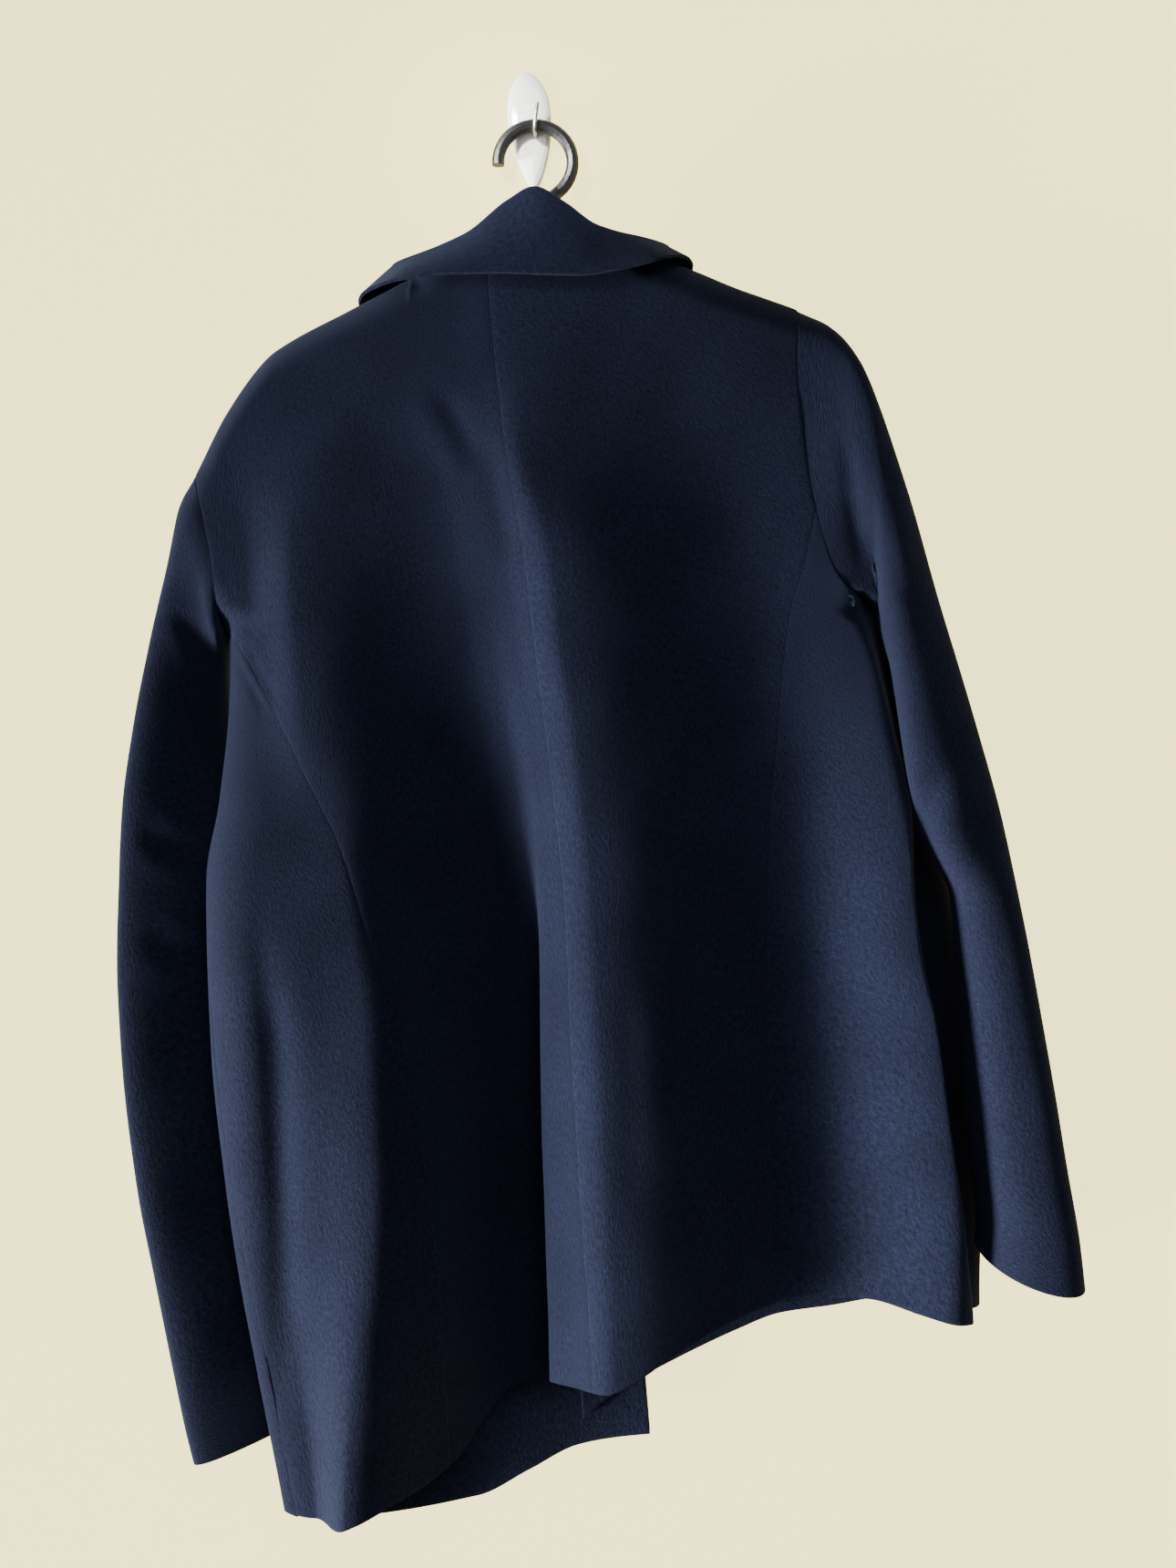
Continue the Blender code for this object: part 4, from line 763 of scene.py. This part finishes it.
cloth_piece("side_back_left", lambda u, v: side_back_panel(u, v, -1), size=(190.0, 590.0),
            relief=back_relief, seams=("u0", "u1", "v0"), outward=1)
cloth_piece("side_back_right", lambda u, v: side_back_panel(u, v, 1), size=(230.0, 530.0),
            relief=back_relief, seams=("u0", "u1", "v0"), outward=-1)

# Fronts. One panel a side, hidden behind the back, the left one over the right one where they meet.
# They hang nearly flat along the wall, in a few long soft folds.
FRONT_CREASES = [
    ([(-110, -260), (-90, -400), (-100, -600), (-96, -800)], 3.0, 12.0, 0.5, 0.5),
    ([(-188, -340), (-160, -372), (-134, -420), (-124, -480)], 1.6, 7.0, 0.6, 0.4),
    ([(150, -250), (140, -360), (158, -520), (166, -720)], 2.4, 11.0, 0.5, 0.4),
    ([(214, -318), (190, -356), (172, -410)], 1.4, 6.5, 0.5, 0.5),
    ([(-40, -560), (-28, -680), (-34, -800)], 1.5, 10.0, 0.4, 0.4),
    ([(92, -480), (98, -600), (90, -730)], 1.3, 10.0, 0.4, 0.4),
]
NECK_FRONT_LEFT = [(-77, -110), (-62, -127), (-36, -150), (-2, -170), (16, -178)]
NECK_FRONT_RIGHT = [(-26, -178), (10, -160), (42, -138), (72, -112), (87, -97.5)]
FRONT_EDGE_LEFT = [(-178, 16), (-400, 38), (-650, 62), (-880, 81)]
FRONT_EDGE_RIGHT = [(-178, -26), (-400, -4), (-650, 18), (-870, 36)]
HEM_FRONT_LEFT = [(-153, -910), (-120, -917), (-76, -919), (-34, -917), (0, -903), (32, -889), (60, -885),
                  (81, -883.5)]
HEM_FRONT_RIGHT = [(36, -870), (52, -858), (97, -833), (140, -814), (169, -803), (203, -798), (240, -791.5),
                   (297, -789)]
FRONT_LAP_STEP = 3.4
FRONT_LAP_FLAT = 6.0
FRONT_LAP_FADE = 60.0
FRONT_WAVES_SHIFT = 40.0


def front_lap(x, z):
    """How much further from the wall the right front lies, where the left front covers it."""
    past = x - by_height(FRONT_EDGE_LEFT, 1, z) - FRONT_LAP_FLAT
    return FRONT_LAP_STEP * (1.0 - smooth_step(past / FRONT_LAP_FADE))


def front_panel(u, v, side):
    """From the front edge, u = 0, to the armhole and the side seam, u = 1."""
    rim = RIM_LEFT if side < 0 else RIM_RIGHT
    armhole = ARMHOLE_LEFT if side < 0 else ARMHOLE_RIGHT
    seam = side_seam_left if side < 0 else side_seam_right
    shoulder = SHOULDER_LEFT if side < 0 else SHOULDER_RIGHT
    neck = NECK_FRONT_LEFT if side < 0 else NECK_FRONT_RIGHT
    edge = FRONT_EDGE_LEFT if side < 0 else FRONT_EDGE_RIGHT
    hem = HEM_FRONT_LEFT if side < 0 else HEM_FRONT_RIGHT
    underarm = armhole[-1][1]
    tip = armhole[0][0]

    def length(u, z):
        radius = by_height(RIM_ROUND_ROWS, 1, z)
        inner = -rim_length(np.abs(outline_x(rim, z) - by_height(edge, 1, z)), radius)
        arm = -rim_length(np.abs(outline_x(rim, z) - outline_x(armhole, z)), radius)
        outer = np.where(z > underarm, arm, seam(z))
        return inner + (outer - inner) * u

    def across(u, z):
        return place_at(rim, side, length(u, z), z)

    def top(u):
        start = edge[0][1]
        x = start + (tip - start) * u
        return x, top_height(x, neck, shoulder)

    x, z = panel_rows(u, v, top, hem, across)
    front = front_surface(x, z, front_lap(x, z) if side > 0 else 0.0)
    back = back_surface(x, z)
    return np.where((length(u, z) > 0.0)[..., None], back, front)


def front_relief(x, z, facing):
    """Creases and waviness of the fronts. They count only where the cloth faces the wall."""
    pressed = crease_depth(FRONT_CREASES, x, z) + WAVINESS * unevenness(x + FRONT_WAVES_SHIFT, z)
    return pressed * smooth_step(-facing / RELIEF_TURN)


cloth_piece("front_left", lambda u, v: front_panel(u, v, -1), size=(320.0, 820.0), relief=front_relief,
            seams=("u1", "v0"), outward=-1)
cloth_piece("front_right", lambda u, v: front_panel(u, v, 1), size=(340.0, 790.0), relief=front_relief,
            seams=("u1", "v0"), outward=1)

# Sleeves. Each is a tube of the same wool, eased into the armhole, with a plain cuff.
# The right one stands out a little and bends at the elbow; the left one hangs down half behind the body.
ARMHOLE_GAP = 0.03
UNDERARM_GAP = 0.1
SLEEVE_EASE = 1.6
SLEEVE_SEAM_SINK = 0.3
SLEEVE_SEAM_ROLL = 4.0
SLEEVE_WAVES_SHIFT = 90.0
# A row is a ring, from the armhole down to the cuff: its outer and inner ends, the depths of its two faces,
# how far its back half drops, and how far its inner end leans away from the wall.
SLEEVE_COLUMNS = ("outer_x", "outer_z", "inner_x", "inner_z", "back_y", "front_y", "back_drop", "lean")
SLEEVE_RIGHT = [
    (178, -130.5, 224.7, -327, 68, 18, 0, 0),
    (199, -143.5, 228, -329.5, 69, 19, 0, 1),
    (213.5, -163.6, 228.3, -335, 71, 22, 0, 10),
    (227.5, -199, 229, -347, 73, 28, 0, 20),
    (245.5, -257, 234, -370, 77, 38, 0, 24),
    (265.5, -332, 238, -401, 82, 46, 0, 23),
    (286.5, -407, 243.5, -441, 90, 52, 0, 18),
    (302, -470, 250, -474, 98, 57, 0, 11),
    (312, -525, 272, -517, 106, 59, 0, 2),
    (321.5, -577, 276, -570, 110, 58, 0, -3),
    (331, -632, 280, -628, 112, 57, 0, -6),
    (339.5, -685, 285, -680, 114, 57, 2, -8),
    (347.5, -732, 290, -720, 115, 57, 6, -8),
    (351, -761, 289.5, -741, 115, 57, 10, -8)]
SLEEVE_LEFT = [
    (-219, -243, -196, -352, 70, 20, 0, 0),
    (-226.4, -263.1, -198.8, -355, 73, 22, 0, -4),
    (-232.6, -303.3, -199.2, -367, 77, 33, 0, -14),
    (-242.5, -356.1, -198.2, -390, 82, 45, 0, -24),
    (-251.4, -408, -194, -422, 86, 53, 0, -31),
    (-257.3, -456.7, -183, -462, 89, 57, 0, -36),
    (-260.3, -508.3, -175, -510, 87, 57, 0, -39),
    (-261.9, -559.9, -170, -563, 85, 57, 0, -41),
    (-258, -632, -163, -634, 85, 57, 0, -42),
    (-249.2, -704, -154, -698, 85, 57, 0, -42),
    (-238.5, -759.5, -144, -746, 85, 57, 0, -42),
    (-226.6, -819.7, -131, -796, 84, 56, 1, -40),
    (-218.5, -860.5, -120, -826, 83, 55, 2, -38),
    (-213.1, -882, -113, -842, 83, 55, 4, -38)]
# For each side, how round a ring is in its inner and its outer half: 1 is round, and less is flatter.
SLEEVE_ROUNDNESS = {-1: (0.5, 0.5), 1: (0.95, 0.48)}
# Shares of the sleeve's length, at the cap and under the arm, over which it takes the armhole's shape. The
# starts and runs are shares of the way down the armhole, and so is the step that finds its slope.
CAP_BLEND = 0.22
UNDERARM_BLEND = 0.09
BLEND_START = 0.45
BLEND_RUN = 0.4
GAP_START = 0.6
GAP_RUN = 0.3
SLOPE_STEP = 0.01


def sleeve(u, v, side):
    """A tube of rings. u runs round it from the outer side over the back, v from the armhole to the cuff."""
    rows = SLEEVE_LEFT if side < 0 else SLEEVE_RIGHT
    armhole = ARMHOLE_LEFT if side < 0 else ARMHOLE_RIGHT
    table = np.array(rows, dtype=float)
    steps = np.linspace(0.0, 1.0, len(rows))

    def ring(v):
        column = {n: curve_through(steps, table[:, i], v) for i, n in enumerate(SLEEVE_COLUMNS)}
        turn = 2.0 * pi * u
        share = 0.5 + 0.5 * np.cos(turn)
        x = column["inner_x"] + (column["outer_x"] - column["inner_x"]) * share
        z = column["inner_z"] + (column["outer_z"] - column["inner_z"]) * share
        z = z - column["back_drop"] * np.maximum(np.sin(turn), 0.0)
        mid = 0.5 * (column["back_y"] + column["front_y"])
        half = 0.5 * (column["back_y"] - column["front_y"])
        across = np.sin(turn)
        inner, outer = SLEEVE_ROUNDNESS[side]
        bulge = np.sign(across) * np.abs(across) ** np.where(share < 0.5, inner, outer)
        depth = mid + half * bulge + column["lean"] * (1.0 - share)
        return np.stack([x, -depth, z], axis=-1)

    down = np.where(u < 0.5, 2.0 * u, 2.0 * (1.0 - u))
    arm_x, arm_z = along(armhole, down)
    seam = np.where((u < 0.5)[..., None], back_surface(arm_x, arm_z), front_surface(arm_x, arm_z, 0.0))
    ahead_x, ahead_z = along(armhole, np.clip(down + SLOPE_STEP, 0.0, 1.0))
    behind_x, behind_z = along(armhole, np.clip(down - SLOPE_STEP, 0.0, 1.0))
    run = np.hypot(ahead_x - behind_x, ahead_z - behind_z)
    gap = ARMHOLE_GAP + UNDERARM_GAP * smooth_step((down - GAP_START) / GAP_RUN)
    seam[..., 0] -= side * gap * (ahead_z - behind_z) / run
    seam[..., 2] += side * gap * (ahead_x - behind_x) / run
    blend_end = CAP_BLEND + (UNDERARM_BLEND - CAP_BLEND) * smooth_step((down - BLEND_START) / BLEND_RUN)
    fade = 1.0 - smooth_step(v / blend_end)
    depth_fade = 1.0 - smooth_step(v / CAP_BLEND)
    return ring(v) + (seam - ring(np.zeros_like(v))) * np.stack([fade, depth_fade, fade], axis=-1)


SLEEVE_CREASES = [
    ([(204, -212), (209, -250), (213, -288), (220, -318)], 1.5, 5.5, 0.2, 0.6),
    ([(222, -270), (232, -305), (246, -340)], 0.8, 5.0, 0.5, 0.5),
    ([(262, -430), (250, -470), (262, -520)], 3.0, 8.0, 0.6, 0.6),
    ([(-226, -330), (-214, -352), (-204, -372)], 1.0, 5.5, 0.6, 0.4),
    ([(-250, -470), (-228, -486), (-206, -492)], 1.1, 7.0, 0.5, 0.5),
    ([(-248, -540), (-226, -552), (-200, -556)], 0.9, 8.0, 0.5, 0.5),
]


def sleeve_relief(x, z, facing):
    """Creases on the side that faces the room, and waviness on both."""
    back = crease_depth(SLEEVE_CREASES, x, z) * smooth_step(facing / RELIEF_TURN)
    return back + WAVINESS * unevenness(x + SLEEVE_WAVES_SHIFT, z) * np.abs(facing)


for side, node_name, area in ((-1, "sleeve_left", 0.141), (1, "sleeve_right", 0.115)):
    cloth_piece(node_name, lambda u, v: sleeve(u, v, side), size=(240.0, 660.0), relief=sleeve_relief,
                seams=("v0",), outward=side, closed=True,
                seam_depth=SLEEVE_SEAM_SINK, seam_roll=SLEEVE_SEAM_ROLL, swell=SLEEVE_EASE)

# Collar. A stand and a fall in one piece of the same wool, turned down over the neck seam all round.
# Its fold line stands up at the middle of the back, round the hanger's stem.
COLLAR_LIFT = 0.9
COLLAR_WAVINESS = 0.35
COLLAR_WAVES_SCALE = 1.6
# A row is a cut across the collar, from its left end round the neck to its right end: where it is sewn on,
# its fold line and its free edge. The two row numbers after it are where the shoulder seams meet the neck.
COLLAR_COLUMNS = ("seam_x", "fold_x", "fold_y", "fold_z", "edge_x", "edge_y", "edge_z")
COLLAR = [
    (13, 12, 11, -163, -14, 6.5, -228),
    (-6, -12, 11, -149, -46, 6.5, -214),
    (-36, -46, 11.5, -128, -86, 7.5, -184),
    (-60, -72, 16, -111.5, -110, 11, -150),
    (-71, -83, 25, -102.5, -114, 21, -133),
    (-75, -86.5, 30.5, -100.5, -115, 30.5, -126),
    (-77, -88, 36, -99.5, -112, 40, -122.5),
    (-65, -67, 51, -95.8, -86, 69, -121),
    (-44, -39.5, 59, -86.5, -52, 76, -118),
    (-20, -12.5, 61, -65.5, -18, 78, -118),
    (4, 4.5, 61.5, -57, 10, 78.5, -119),
    (28, 23, 61, -66.5, 34, 78, -119.5),
    (52, 45, 60, -81.5, 58, 77, -116),
    (74, 67.5, 56.5, -86.7, 85, 75, -109),
    (87, 91, 39, -88.5, 107, 44, -99.5),
    (85, 90.5, 31, -89.5, 111, 31, -101.5),
    (80, 87, 24, -91.5, 111, 18.5, -111),
    (70, 75, 16, -99, 107, 11, -130),
    (52, 60, 12.5, -111.5, 95, 8.5, -158),
    (36, 45, 11.5, -124, 74, 6.5, -190),
    (20, 28, 11, -136, 46, 6.5, -222)]
COLLAR_LEFT_NECK = 6
COLLAR_RIGHT_NECK = 14
COLLAR_FOLD_HALF = 1.3
STAND_END = 0.30
FALL_START = 0.46


def neck_seam(u, seam_x):
    """Neckline of the panels under the collar, from the left front over the back to the right front."""
    left_end = COLLAR_LEFT_NECK / (len(COLLAR) - 1)
    right_end = COLLAR_RIGHT_NECK / (len(COLLAR) - 1)
    back = back_surface(seam_x, by_place(NECK_BACK, seam_x))
    left = front_surface(seam_x, by_place(NECK_FRONT_LEFT, seam_x), 0.0)
    right_z = by_place(NECK_FRONT_RIGHT, seam_x)
    right = front_surface(seam_x, right_z, front_lap(seam_x, right_z))
    seam = np.where((u < left_end)[..., None], left, np.where((u > right_end)[..., None], right, back))
    seam[..., 2] += COLLAR_LIFT
    return seam


def collar(u, v):
    """v runs from the neck seam up the stand, over the fold line and down the fall to its free edge."""
    table = np.array(COLLAR, dtype=float)
    steps = np.linspace(0.0, 1.0, len(COLLAR))
    column = {n: curve_through(steps, table[:, i], u) for i, n in enumerate(COLLAR_COLUMNS)}
    seam = neck_seam(u, column["seam_x"])
    fold = np.stack([column["fold_x"], -column["fold_y"], column["fold_z"] - CLOTH], axis=-1)
    edge = np.stack([column["edge_x"], -column["edge_y"], column["edge_z"]], axis=-1)
    outward = edge - seam
    outward[..., 2] = 0.0
    outward /= np.maximum(np.linalg.norm(outward, axis=-1, keepdims=True), 1.0e-6)
    edge = edge - outward * CLOTH
    half = COLLAR_FOLD_HALF
    lift = np.array([0.0, 0.0, 1.0])
    centre = fold - lift * half
    up = (v / STAND_END)[..., None]
    down = ((v - FALL_START) / (1.0 - FALL_START))[..., None]
    turn = (np.clip((v - STAND_END) / (FALL_START - STAND_END), 0.0, 1.0) * pi)[..., None]
    arc = centre - outward * half * np.cos(turn) + lift * half * np.sin(turn)
    fall = centre + outward * half + (edge - centre - outward * half) * down
    stand = seam + (centre - outward * half - seam) * up
    return np.where(up < 1.0, stand, np.where(down > 0.0, fall, arc))


def collar_relief(x, z, facing):
    """Waviness of the collar, finer than that of the body."""
    waves = unevenness(x * COLLAR_WAVES_SCALE, z * COLLAR_WAVES_SCALE)
    return COLLAR_WAVINESS * waves * np.abs(facing)


cloth_piece("collar", collar, size=(420.0, 110.0), relief=collar_relief, seams=(), outward=1)

# Camera, light, floor and backdrop. The camera stands where the photograph was taken from, square to the
# wall. A narrow beam from far left and below gives the folds their shading. A weak light from above fills
# it in, and a small one brightens the plate and the hook.
PHOTO_HEIGHT = 1720
FOCAL_PIXELS = 1921.0
FILM_HEIGHT = 36.0
CAMERA_PLACE = (0.0394, -1.2, -0.4456)
LOOK_LEVEL = radians(90.0)

lens = bpy.data.cameras.new("camera")
lens.sensor_width = FILM_HEIGHT
lens.lens = FOCAL_PIXELS / PHOTO_HEIGHT * FILM_HEIGHT
camera = bpy.data.objects.new("camera", lens)
camera.location = CAMERA_PLACE
camera.rotation_euler = (LOOK_LEVEL, 0.0, 0.0)
bpy.context.scene.collection.objects.link(camera)
bpy.context.scene.camera = camera


def area_light(name, place, target, size, power, colour, spread=180.0):
    """A round light at place that shines at target, in a beam spread degrees wide."""
    data = bpy.data.lights.new(name, "AREA")
    data.shape = "DISK"
    data.size = size
    data.energy = power
    data.color = colour
    data.spread = radians(spread)
    light = bpy.data.objects.new(name, data)
    light.location = place
    light.rotation_euler = (Vector(target) - Vector(place)).to_track_quat("-Z", "Y").to_euler()
    bpy.context.scene.collection.objects.link(light)


area_light("key", place=(-5.71, -1.89, -3.2), target=(0.30, -0.05, -0.85), size=1.9, power=80.0,
           colour=(1.0, 0.97, 0.93), spread=22.0)
area_light("fill", place=(0.4, -2.8, 1.0), target=(0.0, 0.0, -0.4), size=1.8, power=32.0,
           colour=(0.97, 0.98, 1.0))
area_light("hook", place=(-0.25, -0.42, 0.16), target=(0.0, -0.01, -0.02), size=0.06, power=0.22,
           colour=(1.0, 0.99, 0.95), spread=30.0)

ROOM_COLOUR = (0.95, 0.96, 1.0, 1.0)
ROOM_STRENGTH = 0.25
world = bpy.data.worlds.new("studio")
world.use_nodes = True
room = world.node_tree.nodes["Background"]
room.inputs["Color"].default_value = ROOM_COLOUR
room.inputs["Strength"].default_value = ROOM_STRENGTH
bpy.context.scene.world = world

FLOOR_GREY = (0.78, 0.76, 0.73, 1.0)
WALL_CREAM = (0.98, 0.86, 0.35, 1.0)
WALL_SEEN_GLOW = 3.0
WALL_GAP = 0.0005
WALL_TOP = 4.0
FLOOR = -4.4
SPREAD = 6.0


def plain_sheet(name, corners, colour, lit=1.0, glow=0.0, hidden_behind=False):
    """A flat sheet of the studio: lit is the share of its colour that it reflects, glow what it gives off.

    hidden_behind makes it clear from behind, and as bright to the camera as the photograph's wall.
    """
    material, tree, shader = new_material(name, roughness=0.9, specular=0.0)
    shader.inputs["Base Color"].default_value = [c * lit for c in colour[:3]] + [1.0]
    shader.inputs["Emission Color"].default_value = colour
    shader.inputs["Emission Strength"].default_value = glow
    if hidden_behind:
        seen = tree.nodes.new("ShaderNodeLightPath")
        lift = node(tree, "ShaderNodeMapRange", to_min=glow, to_max=WALL_SEEN_GLOW)
        tree.links.new(seen.outputs["Is Camera Ray"], lift.inputs["Value"])
        tree.links.new(lift.outputs["Result"], shader.inputs["Emission Strength"])
        facing = tree.nodes.new("ShaderNodeNewGeometry")
        clear = tree.nodes.new("ShaderNodeBsdfTransparent")
        mix = tree.nodes.new("ShaderNodeMixShader")
        tree.links.new(facing.outputs["Backfacing"], mix.inputs["Fac"])
        tree.links.new(shader.outputs["BSDF"], mix.inputs[1])
        tree.links.new(clear.outputs["BSDF"], mix.inputs[2])
        tree.links.new(mix.outputs["Shader"], tree.nodes["Material Output"].inputs["Surface"])
    bm = bmesh.new()
    bm.faces.new([bm.verts.new(corner) for corner in corners])
    mesh = bpy.data.meshes.new(name)
    bm.to_mesh(mesh)
    bm.free()
    mesh.materials.append(material)
    piece = bpy.data.objects.new(name, mesh)
    bpy.context.scene.collection.objects.link(piece)


plain_sheet("floor", [(-SPREAD, -SPREAD, FLOOR), (SPREAD, -SPREAD, FLOOR), (SPREAD, SPREAD, FLOOR),
                      (-SPREAD, SPREAD, FLOOR)], FLOOR_GREY)
plain_sheet("backdrop", [(-SPREAD, WALL_GAP, FLOOR), (SPREAD, WALL_GAP, FLOOR), (SPREAD, WALL_GAP, WALL_TOP),
                         (-SPREAD, WALL_GAP, WALL_TOP)], WALL_CREAM, lit=0.2, glow=1.1, hidden_behind=True)
